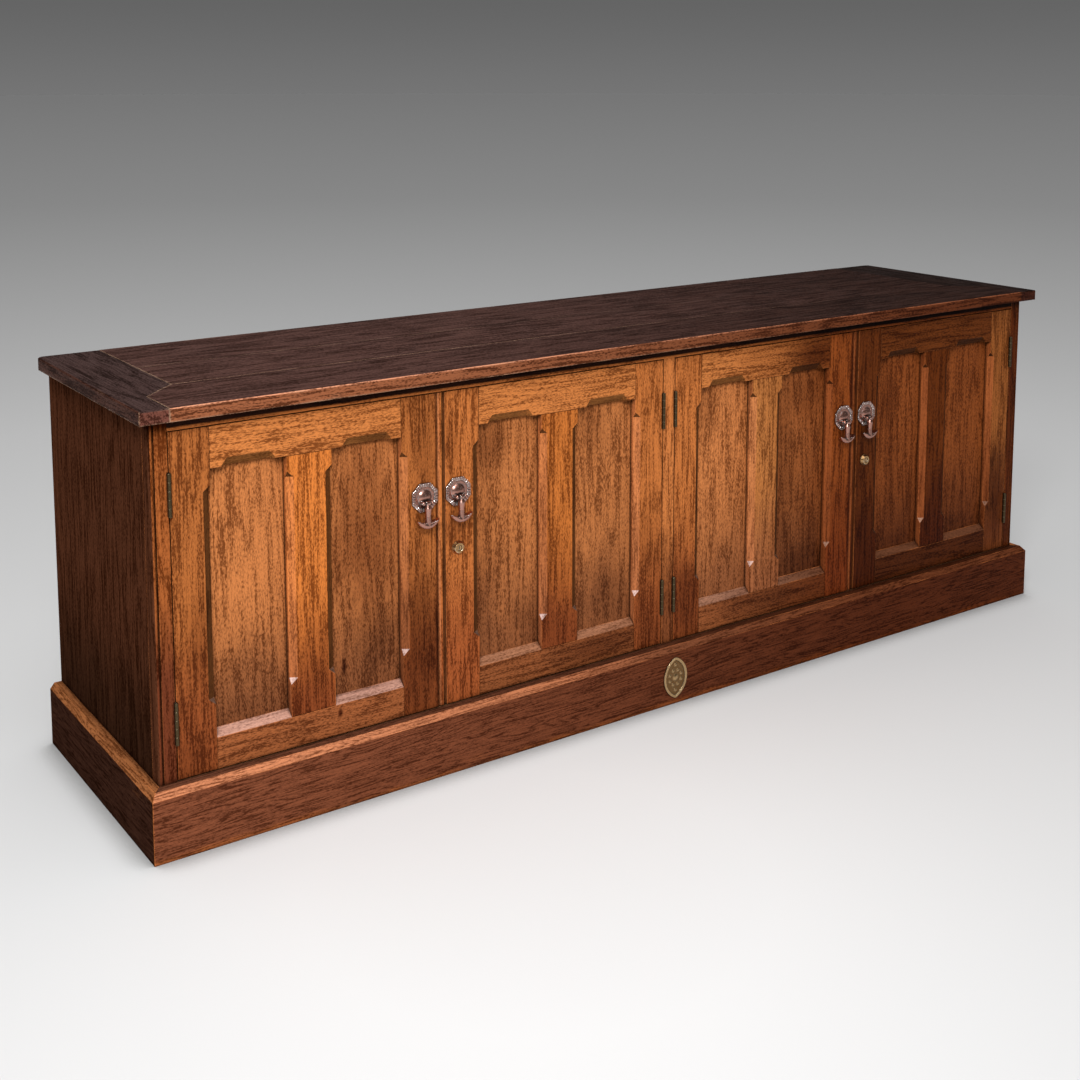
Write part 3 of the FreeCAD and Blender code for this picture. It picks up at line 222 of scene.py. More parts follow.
class Socket:
    """One output of a shader node. Arithmetic on it adds Math nodes."""

    def __init__(self, finish, output):
        self.finish = finish
        self.output = output

    def also(self, name):
        """Another output of the same node."""
        return Socket(self.finish, self.output.node.outputs[name])

    def _math(self, operation, first, second=0.0):
        return self.finish.node("ShaderNodeMath", {"operation": operation}, {0: first, 1: second})

    def __add__(self, other):
        return self._math("ADD", self, other)

    __radd__ = __add__

    def __sub__(self, other):
        return self._math("SUBTRACT", self, other)

    def __rsub__(self, other):
        return self._math("SUBTRACT", other, self)

    def __mul__(self, other):
        return self._math("MULTIPLY", self, other)

    __rmul__ = __mul__

    def __truediv__(self, other):
        return self._math("DIVIDE", self, other)

    def __pow__(self, other):
        return self._math("POWER", self, other)

    def __abs__(self):
        return self._math("ABSOLUTE", self)

    def most(self, other):
        """The greater of two values."""
        return self._math("MAXIMUM", self, other)

    def whole(self):
        """The value without its fraction."""
        return self._math("FLOOR", self)

    def wave(self):
        """A sine of the value, from 0 to 1 and back once a unit."""
        return self._math("SINE", self * math.tau) * 0.5 + 0.5

    def clamped(self):
        """The value held between 0 and 1."""
        return self.finish.node("ShaderNodeClamp", None, {"Value": self})

    def step(self, start, end):
        """0 before start, 1 after end, and a soft rise between them."""
        return self.finish.node(
            "ShaderNodeMapRange", {"interpolation_type": "SMOOTHSTEP"},
            {"Value": self, "From Min": start, "From Max": end},
        )


class Finish:
    """A shader tree in the making."""

    def __init__(self, tree):
        self.tree = tree
        self.tree.nodes.clear()

    def node(self, kind, settings=None, inputs=None, output=0):
        """Adds a node, sets it up, joins its inputs and gives one of its outputs."""
        made = self.tree.nodes.new(kind)
        for name, value in (settings or {}).items():
            if name == "stops":
                self._set_stops(made.color_ramp, value)
            else:
                setattr(made, name, value)
        for name, value in (inputs or {}).items():
            self._feed(made.inputs[name], value)
        return Socket(self, made.outputs[output]) if len(made.outputs) else made

    def _feed(self, entry, value):
        if isinstance(value, Socket):
            self.tree.links.new(value.output, entry)
        elif entry.type == "RGBA" and len(value) == 3:
            entry.default_value = (*value, 1.0)
        else:
            entry.default_value = value

    @staticmethod
    def _set_stops(ramp, stops):
        while len(ramp.elements) < len(stops):
            ramp.elements.new(1.0)
        for element, (place, colour) in zip(ramp.elements, stops):
            element.position = place
            element.color = (*colour, 1.0)

    def place(self):
        """Where a point is on the object, in metres."""
        return self.node("ShaderNodeTexCoord", output="Object")

    def parts(self, vector):
        """The three parts of a vector."""
        split = self.node("ShaderNodeSeparateXYZ", None, {0: vector})
        return split, split.also("Y"), split.also("Z")

    def vector(self, operation, first, second, output=0):
        """A Vector Math node."""
        return self.node("ShaderNodeVectorMath", {"operation": operation}, {0: first, 1: second}, output)

    def noise(self, place, detail=2.0, roughness=0.5):
        """Noise with features about one unit wide."""
        return self.node(
            "ShaderNodeTexNoise", None,
            {"Vector": place, "Scale": 1.0, "Detail": detail, "Roughness": roughness},
        )

    def ramp(self, value, *stops):
        """A colour that follows a value."""
        return self.node("ShaderNodeValToRGB", {"stops": stops}, {"Fac": value})

    def mix(self, factor, first, second, blend="MIX"):
        """A mixture of two colours."""
        return self.node(
            "ShaderNodeMix", {"data_type": "RGBA", "blend_type": blend},
            {MIX_FACTOR: factor, MIX_FIRST: first, MIX_SECOND: second}, MIX_RESULT,
        )

    def rounded_normal(self, radius):
        """The surface's normal with its edges softened."""
        return self.node("ShaderNodeBevel", {"samples": 4}, {"Radius": radius})

    def edges(self, rounded):
        """1 on an arris, 0 on a flat face."""
        flat = self.node("ShaderNodeNewGeometry", output="Normal")
        return 1.0 - self.vector("DOT_PRODUCT", rounded, flat, "Value")

    def corners(self, reach):
        """1 deep in a corner or gap, 0 in the open."""
        return 1.0 - self.node(
            "ShaderNodeAmbientOcclusion", {"samples": 6}, {"Distance": reach}, "AO"
        )

    def surface(self, inputs):
        """Ends the tree with one shader."""
        shader = self.node("ShaderNodeBsdfPrincipled", None, inputs)
        self.node("ShaderNodeOutputMaterial", None, {"Surface": shader})


def new_finish(name):
    """A material with an empty shader tree."""
    material = bpy.data.materials.new(name)
    material.use_nodes = True
    return material, Finish(material.node_tree)


def put_on(material, *nodes):
    """Gives CAD nodes a finish."""
    for name in nodes:
        piece = frame["nodes"][name]
        if not piece.material_slots:
            piece.data.materials.append(None)
        for slot in piece.material_slots:
            slot.link = "OBJECT"
            slot.material = material


# How dark and pale streaks differ from a board's own colour, and the values of the grain at which
# a board is darkest, shows its own colour and is palest.
DARK_STREAK = (0.42, 0.35, 0.29)
PALE_STREAK = (1.4, 1.42, 1.4)
DARK_GRAIN = 0.24
PLAIN_GRAIN = 0.5
PALE_GRAIN = 0.78

# The middle of a noise, about which its values spread.
MIDDLE = 0.5
# How far the grain sways from a straight line in metres, and how often in a metre.
SWAY = 0.012
SWAYS = 3.0
# What keeps the marks of one board apart, and which way a seed moves them.
SEED_SHIFTS = {"streaks": 0.0, "flecks": 3.1, "pores": 6.4, "mottle": 9.2, "rings": 12.7}
SEED_MOVE = (1.0, 1.7, 2.3)
# Noise from which pores open, length of a patch of mottle for its width, and paler share of a growth ring.
PORE_SPAN = (0.56, 0.7)
MOTTLE_STRETCH = 1.8
PALE_RING = 0.4
# Shares of mottle and pores in the grain, and how far the grain spreads at a contrast of 1.
MOTTLE_SHARE = 0.16
PORE_SHARE = 0.06
GRAIN_SPREAD = 1.9

# Colours given by the way a face is turned paint light and shade on chamfers, stops, sills, the plinth's
# front and the top's front arris.
# Which way each kind of face is turned: the axis and the sign of its normal. A face counts as turned
# between the two parts of TURNED_SPAN, and one that looks up past SLOPING_SPAN is level, not sloping.
TURNED = {"left": (0, -1), "right": (0, 1), "up": (2, 1), "down": (2, -1), "sloping": (2, 1)}
TURNED_SPAN = (0.2, 0.45)
SLOPING_SPAN = (0.95, 0.85)
# What is left of a sloping face's painted highlight where it has faded out.
SLOPE_REST = 0.4

# How far boards in a row differ, how ragged the borders of the darker end and of stains are, and where a
# stain sets in.
ROW_SPREAD = 0.7
DARKER_END_RAGGED = 0.2
STAIN_RAGGED = 1.2
STAIN_SPAN = (1.25, 0.2)

# Rubbed edges: their strength, how patchy they are, the mottle that holds them back, and where they set in.
RUB_STRENGTH = 3.0
RUB_PATCHES = 1.2
RUB_HELD = 0.62
RUB_SPAN = (0.05, 0.5)

# Painted shade and dirt in corners, painted black shadow lines in tight gaps, and the dark core of a joint.
DIRT_AND_SHADE_STRENGTH = 1.5
DIRT_AND_SHADE_PATCHES = 0.3
DIRT_AND_SHADE_SPAN = (0.3, 1.0)
SHADOW_LINE_SPAN = (0.25, 0.5)
JOINT_CORE = 0.3
JOINT_DARKNESS = 0.8

# Relief of the grain, and how grain, mottle, dirt and painted shade change the gloss.
GRAIN_RELIEF = 0.3
GRAIN_DEPTH = 0.0006
PORE_DEPTH = 0.8
GRAIN_GLOSS = 0.2
MOTTLE_GLOSS = 0.3
DIRT_AND_SHADE_GLOSS = 0.3


def grain_place(finish, place, along, width, length, seed):
    """Coordinates in which a grain mark is one unit wide and one unit long."""
    sizes = [1 / width] * 3
    sizes[AXES[along]] = 1 / length
    spread = finish.vector("MULTIPLY", place, sizes)
    return finish.vector("ADD", spread, tuple(seed * part for part in SEED_MOVE))


def streaked(finish, grain, colour):
    """A board's colour, darker and paler with its grain."""
    return finish.ramp(
        grain,
        (DARK_GRAIN, tinted(colour, DARK_STREAK)),
        (PLAIN_GRAIN, colour),
        (PALE_GRAIN, tinted(colour, PALE_STREAK)),
    )


class OakBoard:
    """Aged oak in the making: the grain of a board, and its colours as they lie over one another."""

    def __init__(self, oaks, name, along, seed):
        self.oaks = oaks
        self.along = along
        self.seed = seed
        self.material, self.finish = new_finish(name)
        self.place = self.finish.place()
        self.where = self.finish.parts(self.place)

    def grow(self, contrast, flecks, rings, turns):
        """Grain of streaks, flecks, pores and growth rings, and the mottle of the polish."""
        finish = self.finish
        oaks = self.oaks
        sway = finish.noise(finish.vector("MULTIPLY", self.place, (SWAYS, SWAYS, SWAYS)))
        across = {axis: (sway - MIDDLE) * SWAY for axis in AXES if axis != self.along}
        swayed = finish.vector("ADD", self.place, finish.node("ShaderNodeCombineXYZ", None, across))

        def marks(kind, width, length, detail=2.0, roughness=0.55):
            place = grain_place(finish, swayed, self.along, width, length, self.seed + SEED_SHIFTS[kind])
            return finish.noise(place, detail, roughness)

        streaks = marks("streaks", oaks.streak_width, oaks.streak_length)
        specks = marks("flecks", oaks.fleck_width, oaks.fleck_length, roughness=0.6)
        figure = (marks("rings", oaks.ring_width, oaks.ring_length) * turns).wave() ** 2.0
        self.pores = marks("pores", oaks.pore_width, oaks.pore_length, detail=1.0).step(*PORE_SPAN)
        patch = oaks.mottle_size
        self.mottle = marks("mottle", patch, patch * MOTTLE_STRETCH, detail=4.0, roughness=0.62)
        grain = streaks * (1.0 - flecks) + specks * flecks + self.mottled(MOTTLE_SHARE)
        grain = grain - (figure - PALE_RING) * rings
        self.grain = (grain - MIDDLE) * (GRAIN_SPREAD * contrast) + MIDDLE - self.pores * PORE_SHARE

    def mottled(self, share):
        """A share of the mottle, above and below nought."""
        return (self.mottle - MIDDLE) * share

    def lay(self, colour, foot, span, ragged):
        """The board's colour, and that of its foot below a ragged border."""
        self.body = streaked(self.finish, self.grain, colour)
        if foot is not None:
            rise = (self.where[2] + self.mottled(ragged)).step(*span)
            self.body = self.finish.mix(rise, streaked(self.finish, self.grain, foot), self.body)

    def lay_faces(self, turned, slope_span, face_grain):
        """The colours of faces that are turned to one side; on chamfers, stops, sills, the plinth's front and
        the top's front arris these are painted light and shade.
        """
        soft = (self.grain - MIDDLE) * face_grain + MIDDLE
        facing = self.finish.parts(self.finish.node("ShaderNodeTexCoord", output="Normal"))
        for side, (colour, share) in turned.items():
            axis, sign = TURNED[side]
            shown = (facing[axis] * sign).step(*TURNED_SPAN) * share
            if side == "sloping":
                shown = shown * facing[axis].step(*SLOPING_SPAN)
            if side == "sloping" and slope_span is not None:
                shown = shown * (SLOPE_REST + (1.0 - SLOPE_REST) * self.where[0].step(*slope_span))
            self.body = self.finish.mix(shown, self.body, streaked(self.finish, soft, colour))

    def darken(self, share, tint_colour):
        """Multiplies a share of the colour by a tint."""
        dark = self.finish.mix(1.0, self.body, tint_colour, "MULTIPLY")
        self.body = self.finish.mix(share, self.body, dark)

    def part_row(self, start, width):
        """A tone of its own for each board in a row along X."""
        board = ((self.where[0] - start) / width).whole()
        tone = self.finish.node(
            "ShaderNodeTexWhiteNoise", {"noise_dimensions": "1D"}, {"W": board + self.seed}
        )
        self.darken(tone * ROW_SPREAD, self.oaks.stain)

    def darker_end(self, start, end):
        """A darker end along X."""
        self.darken((self.where[0] + self.mottled(DARKER_END_RAGGED)).step(start, end), self.oaks.darker_end)

    def stain(self, x, z, half_width, half_height, share):
        """A dark patch. Most are stains; those under the top and along the doors' meeting gaps are painted
        shadow.
        """
        aside = (self.where[0] - x) / half_width
        above = (self.where[2] - z) / half_height
        away = (aside * aside + above * above) ** 0.5 + self.mottled(STAIN_RAGGED)
        self.darken(away.step(*STAIN_SPAN) * share, self.oaks.stain)

    def rub(self, arris, wear, width, span):
        """Edges rubbed through to paler oak."""
        self.rounded = self.finish.rounded_normal(width)
        held = (self.mottle - RUB_HELD) * RUB_PATCHES
        rubbed = (self.finish.edges(self.rounded) * RUB_STRENGTH + held).step(*RUB_SPAN) * wear
        if span is not None:
            rubbed = rubbed * self.where[0].step(*span)
        self.body = self.finish.mix(rubbed, self.body, streaked(self.finish, self.grain, arris))

    def dirty_and_shade(self, grime, reach, seams, seam_width):
        """Painted shade and dirt in the corners, painted black shadow lines in tight gaps, and dark joints.
        """
        corners = self.finish.corners(reach) * DIRT_AND_SHADE_STRENGTH + self.mottled(DIRT_AND_SHADE_PATCHES)
        lines = self.finish.corners(self.oaks.shadow_line_reach).step(*SHADOW_LINE_SPAN)
        self.dirt_and_shade = (corners.step(*DIRT_AND_SHADE_SPAN) * grime).most(lines * grime)
        for axis, at in seams:
            gap = abs(self.where[AXES[axis]] - at)
            self.dirt_and_shade = self.dirt_and_shade.most(gap.step(seam_width, JOINT_CORE * seam_width) * JOINT_DARKNESS)
        self.body = self.finish.mix(self.dirt_and_shade, self.body, self.oaks.grime)

    def polish(self, gloss, shine):
        """Ends the finish and gives its material."""
        height = self.grain - self.pores * PORE_DEPTH
        bump = self.finish.node(
            "ShaderNodeBump", None,
            {"Strength": GRAIN_RELIEF, "Distance": GRAIN_DEPTH, "Height": height, "Normal": self.rounded},
        )
        dulled = (MIDDLE - self.grain) * GRAIN_GLOSS + self.mottled(MOTTLE_GLOSS) + self.dirt_and_shade * DIRT_AND_SHADE_GLOSS
        self.finish.surface({
            "Base Color": self.body,
            "Roughness": (gloss + dulled).clamped(),
            "Specular IOR Level": shine,
            "Normal": bump,
        })
        return self.material


def oak(
    oaks, name, along, colour, seed, foot=None, span=(0.0, 1.0), ragged=0.16, turned=None, slope_span=None,
    face_grain=1.0, row=None, darker_end_span=None, stains_and_shadows=(), arris=None, wear=0.7, wear_width=None, wear_span=None,
    grime=0.85, reach=None, seams=(), seam_width=None, contrast=1.45, flecks=0.55, rings=0.1, turns=8.0,
    gloss=0.42, shine=0.03,
):
    """Aged oak with its grain along one axis.

    foot, span, ragged: colour of the foot, heights between which it ends, and depth of the ragged border.
    turned: colours of faces turned left, right, up, down or sloping upwards, each with its share; on
    chamfers, sills and arrises these are painted light and shade.
    slope_span: where along X the painted highlight on sloping faces begins to show and shows in full.
    face_grain: strength of the grain on turned faces.
    row: start along X and width of the boards in a row, each of which gets its own tone.
    darker_end_span: where along X the darker end begins and is full.
    stains_and_shadows: dark patches, stains and painted shadows, each as x, z, half width, half height and
    share.
    arris, wear, wear_width: colour, strength and width of rubbed edges.
    wear_span: where along X the rubbed edges begin to show and show in full; on the top they are wear and a
    painted highlight.
    grime, reach: strength of the painted shade and dirt in corners, and how far it reaches out of them.
    seams, seam_width: dark lines, joints and on the panels painted shadow along their edges, each as an axis
    and a distance along it, and their width.
    contrast, flecks, rings, turns: strength of the grain, shares of flecks and rings, number of rings.
    gloss, shine: roughness, and strength of the sheen.
    """
    board = OakBoard(oaks, name, along, seed)
    board.grow(contrast, flecks, rings, turns)
    board.lay(colour, foot, span, ragged)
    if turned is not None:
        board.lay_faces(turned, slope_span, face_grain)
    if row is not None:
        board.part_row(*row)
    if darker_end_span is not None:
        board.darker_end(*darker_end_span)
    for patch in stains_and_shadows:
        board.stain(*patch)
    board.rub(arris or oaks.arris, wear, wear_width or oaks.arris_width, wear_span)
    board.dirty_and_shade(grime, reach or oaks.grime_reach, seams, seam_width or oaks.seam_width)
    return board.polish(gloss, shine)


# Clouds and pits of cast metal in a metre.
CLOUDS = 260.0
PITS = 900.0
# How soft its edges are, how much the pits count in its relief, and how strong and deep that is.
CAST_EDGE = 0.0014
PIT_SHARE = 0.4
CAST_RELIEF = 0.4
CAST_DEPTH = 0.0004
# Rubbed edges and stained recesses of metal: strength, where they set in, how far rubbing clears a stain.
METAL_RUB = 5.0
METAL_RUB_SPAN = (0.0, 0.5)
METAL_STAIN = 1.6
METAL_STAIN_SPAN = (0.0, 0.6)
RUBBED_CLEAR = 0.8
# How rubbed the tops of a raised pattern are, and how stained its ground is.
RELIEF_RUBBED = 0.3
RELIEF_STAINED = 0.5
# How stains, rubbing and pits change the sheen of metal.
STAIN_DULLS = 0.35
STAIN_GLOSS = 0.3
RUBBED_GLOSS = 0.06
PIT_GLOSS = 0.2


def metal(name, colour, patina, bright, reach=0.006, relief=None, patchy=1.8, gloss=0.3, seed=0.0):
    """Old cast metal, rubbed bright where it stands out and dark where it doesn't, in patches.

    relief is where along Y the dark ground of a raised pattern gives way to its rubbed tops.
    """
    material, finish = new_finish(name)
    place = finish.vector("ADD", finish.place(), (seed, seed, seed))
    clouded = finish.vector("MULTIPLY", place, (CLOUDS, CLOUDS, CLOUDS))
    cloud = finish.noise(clouded, detail=4.0, roughness=0.65)
    pits = finish.noise(finish.vector("MULTIPLY", place, (PITS, PITS, PITS)))
    rounded = finish.rounded_normal(CAST_EDGE)
    rubbed = (finish.edges(rounded) * METAL_RUB + (cloud - MIDDLE)).step(*METAL_RUB_SPAN)
    stain = (finish.corners(reach) * METAL_STAIN + (cloud - MIDDLE) * patchy).step(*METAL_STAIN_SPAN)
    stain = stain * (1.0 - rubbed * RUBBED_CLEAR)
    if relief is not None:
        proud = finish.parts(finish.place())[1].step(*relief)
        rubbed = rubbed.most(proud * RELIEF_RUBBED)
        stain = stain.most(RELIEF_STAINED - proud * RELIEF_STAINED)
    height = cloud + pits * PIT_SHARE
    bump = finish.node(
        "ShaderNodeBump", None,
        {"Strength": CAST_RELIEF, "Distance": CAST_DEPTH, "Height": height, "Normal": rounded},
    )
    dulled = stain * STAIN_GLOSS - rubbed * RUBBED_GLOSS + (pits - MIDDLE) * PIT_GLOSS
    finish.surface({
        "Base Color": finish.mix(stain, finish.mix(rubbed, colour, bright), patina),
        "Metallic": 1.0 - stain * STAIN_DULLS,
        "Roughness": (gloss + dulled).clamped(),
        "Normal": bump,
    })
    return material


class DresserOperator(Operator):
    """Shared settings of the dresser's operators"""

    bl_options = {"REGISTER", "UNDO"}


# Where along X the top and its front edge darken.
TOP_DARKER_END = (-0.5, 1.3)
TOP_FRONT_DARKER_END = (-0.9, 0.9)
# How the clamps' upper faces differ from the boards', and their left side from their front.
CLAMP_TINT = (0.62, 0.72, 0.8)
CLAMP_SIDE_TINT = (0.45, 0.45, 0.4)


class DRESSER_OT_top(DresserOperator):
    """Finish the boards and clamps of the top"""

    bl_idname = "dresser.top"
    bl_label = "Top"

    def execute(self, context):
        oaks = context.scene.dresser_oak
        # The top's joints and arrises are rubbed paler, strongest at the left, as wear and a painted
        # highlight.
        seams = dict(
            arris=oaks.top_seam_wear_and_highlight, wear=1.3, wear_width=0.0042, wear_span=(1.0, -0.9), contrast=2.6, gloss=0.5,
            shine=0.04,
        )
        # The rounded upper arris of the front board is given a painted highlight.
        front_faces = {
            "up": (oaks.top, 1.0),
            "sloping": (oaks.top_arris_highlight, 0.85),
        }
        clamp_faces = {
            "up": (tinted(oaks.top, CLAMP_TINT), 1.0),
            "left": (tinted(oaks.clamp_edge, CLAMP_SIDE_TINT), 1.0),
        }
        boards = oak(oaks, "oak_top_boards", "X", oaks.top, 1.3, darker_end_span=TOP_DARKER_END, **seams)
        front = oak(
            oaks, "oak_top_front", "X", oaks.top_edge, 1.9, turned=front_faces, darker_end_span=TOP_FRONT_DARKER_END, **seams
        )
        clamps = oak(
            oaks, "oak_top_clamps", "Y", oaks.clamp_edge, 4.2, turned=clamp_faces, darker_end_span=TOP_DARKER_END, **seams
        )
        put_on(boards, "top_inner_boards")
        put_on(front, "top_front_board")
        put_on(clamps, "top_left_clamp", "top_right_clamp")
        return {"FINISHED"}


class DRESSER_OT_sides(DresserOperator):
    """Finish the outer sides of the case"""

    bl_idname = "dresser.sides"
    bl_label = "Sides"

    def execute(self, context):
        oaks = context.scene.dresser_oak
        sides = oak(
            oaks, "oak_sides", "Z", oaks.side, 7.7, foot=oaks.side_foot, span=(0.14, 0.42), contrast=1.5,
            gloss=0.5, shine=0.0,
        )
        put_on(sides, "left_side", "right_side")
        return {"FINISHED"}


# Where along X the right-hand half of the front darkens.
FRONT_DARKER_END = (0.1, 0.5)
# Painted shadow of the top's overhang on the heads of the end stiles: x, z, half width, half height, share.
LEFT_STILE_HEAD_SHADOW = (-1.12, 0.76, 0.06, 0.014, 0.95)
RIGHT_STILE_HEAD_SHADOW = (1.12, 0.76, 0.06, 0.014, 0.95)
# Height of the plain strip along the foot of the head rail, and where the painted shadow of the top's
# overhang above it is full.
HEAD_STRIP = 0.003
HEAD_SHADOW = 0.007


class DRESSER_OT_face_frame(DresserOperator):
    """Finish the stiles and the head rail round the doors"""

    bl_idname = "dresser.face_frame"
    bl_label = "Face Frame"

    def execute(self, context):
        oaks = context.scene.dresser_oak
        left = oak(
            oaks, "oak_left_stile", "Z", oaks.left_corner, 2.6, foot=oaks.left_corner_foot,
            span=(0.32, 0.5), turned={"left": (oaks.side, 1.0)}, stains_and_shadows=(LEFT_STILE_HEAD_SHADOW,), wear=0.3,
            shine=0.0,
        )
        put_on(left, "left_stile")
        centre = oak(
            oaks, "oak_centre_stile", "Z", oaks.frame, 5.9, foot=oaks.frame_foot, span=(0.22, 0.44)
        )
        put_on(centre, "centre_stile")
        right = oak(
            oaks, "oak_right_stile", "Z", oaks.corner, 8.3, stains_and_shadows=(RIGHT_STILE_HEAD_SHADOW,), darker_end_span=FRONT_DARKER_END
        )
        put_on(right, "right_stile")
        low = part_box("head_rail")[0]
        # The head rail is painted with the shadow of the top's overhang, above a plain strip along its foot.
        head = oak(
            oaks, "oak_head_rail", "X", oaks.shadow, 3.4, foot=oaks.stile,
            span=(low.z + HEAD_STRIP, low.z + HEAD_SHADOW), ragged=0.003, darker_end_span=FRONT_DARKER_END, wear=0.0,
        )
        put_on(head, "head_rail")
        return {"FINISHED"}


# How the plinth's returns differ from its front.
RETURN_TINT = (0.21, 0.27, 0.36)


class DRESSER_OT_plinth(DresserOperator):
    """Finish the boards of the plinth"""

    bl_idname = "dresser.plinth"
    bl_label = "Plinth"

    def execute(self, context):
        oaks = context.scene.dresser_oak
        grain = dict(contrast=1.25, flecks=0.45, rings=0.11, turns=30.0, gloss=0.48)
        # The flat along the plinth's front is painted with the shadow under the doors, and its chamfer with a
        # highlight that fades towards the right.
        front_faces = {
            "up": (oaks.front_ledge_shadow, 0.9),
            "sloping": (oaks.plinth_chamfer_highlight, 0.85),
        }
        front = oak(
            oaks, "oak_plinth_front", "X", oaks.plinth, 6.1, foot=oaks.worn_foot, span=(0.0, 0.012),
            ragged=0.03, turned=front_faces, slope_span=(0.0, -0.3), darker_end_span=(-1.3, 0.75), shine=0.02, **grain,
        )
        returns = oak(
            oaks, "oak_plinth_returns", "Y", tinted(oaks.plinth, RETURN_TINT), 9.4,
            turned={"up": (oaks.ledge, 0.9)}, shine=0.0, **grain,
        )
        put_on(front, "plinth_front", "plinth_back")
        put_on(returns, "plinth_returns")
        return {"FINISHED"}


# Boards in the back of the case.
BACK_BOARDS = 9


class DRESSER_OT_inside(DresserOperator):
    """Finish the unpolished boards inside and behind the case"""

    bl_idname = "dresser.inside"
    bl_label = "Inside"

    def execute(self, context):
        oaks = context.scene.dresser_oak
        raw = dict(gloss=0.65, shine=0.1, wear=0.3, contrast=1.0)
        level = oak(oaks, "oak_inside_level", "X", oaks.inside, 2.2, **raw)
        put_on(level, "back_rail", "bottom_board", "shelves")
        upright = oak(oaks, "oak_inside_upright", "Z", oaks.inside, 5.5, **raw)
        put_on(upright, "partition")
        low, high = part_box("back_boards")
        width = (high.x - low.x) / BACK_BOARDS
        joints = tuple(("X", low.x + width * board) for board in range(1, BACK_BOARDS))
        back = oak(
            oaks, "oak_back_boards", "Z", oaks.inside, 6.6, row=(low.x, width), seams=joints,
            seam_width=0.003, **raw,
        )
        put_on(back, "back_boards")
        deep = oak(oaks, "oak_inside_deep", "Y", oaks.inside, 8.1, **raw)
        put_on(deep, "bearers")
        return {"FINISHED"}


# Each board of the doors has its own tone, against the colour of its kind.
BOARD_TONES = {
    "hinge_stile": {1: 0.8, 2: 1.02, 3: 1.05, 4: (1.5, 2.0, 2.5)},
    "meeting_stile": {1: 0.8, 2: 1.02, 3: 1.28, 4: 0.6},
    "rails": {1: 0.9, 2: 0.88, 3: 0.84, 4: 0.52},
    "muntin": {1: 0.95, 2: 0.8, 3: (0.92, 1.15, 1.6), 4: 0.47},
    "panels": {1: 0.93, 2: 0.85, 3: 1.0, 4: 1.1},
}
# Feet of boards that differ from the rest of their kind.
FOOT_TONES = {
    ("hinge_stile", 1): 1.25,
    ("meeting_stile", 2): 1.3,
    ("meeting_stile", 3): 1.3,
    ("muntin", 1): 1.05,
    ("muntin", 2): 1.2,
    ("muntin", 3): (1.9, 2.2, 2.2),
    ("muntin", 4): 1.5,
    ("panels", 1): 0.87,
    ("rails", 2): 0.85,
}
# Most that the tones of a board and of its foot may come to together.
MOST_TONE = 4.0
# For each door: how bright its chamfers and stops are, how far the painted light on its chamfers turned left
# shows, how bright its sill is.
CHAMFER_TONES = {1: 0.95, 2: 0.95, 3: 1.0, 4: 1.25}
CHAMFER_SHARES = {1: 0.35, 2: 0.5, 3: 0.55, 4: 0.75}
SILL_TONES = {1: (1.25, 1.4, 1.7), 2: (0.92, 0.84, 0.72), 3: 0.85, 4: 0.8}
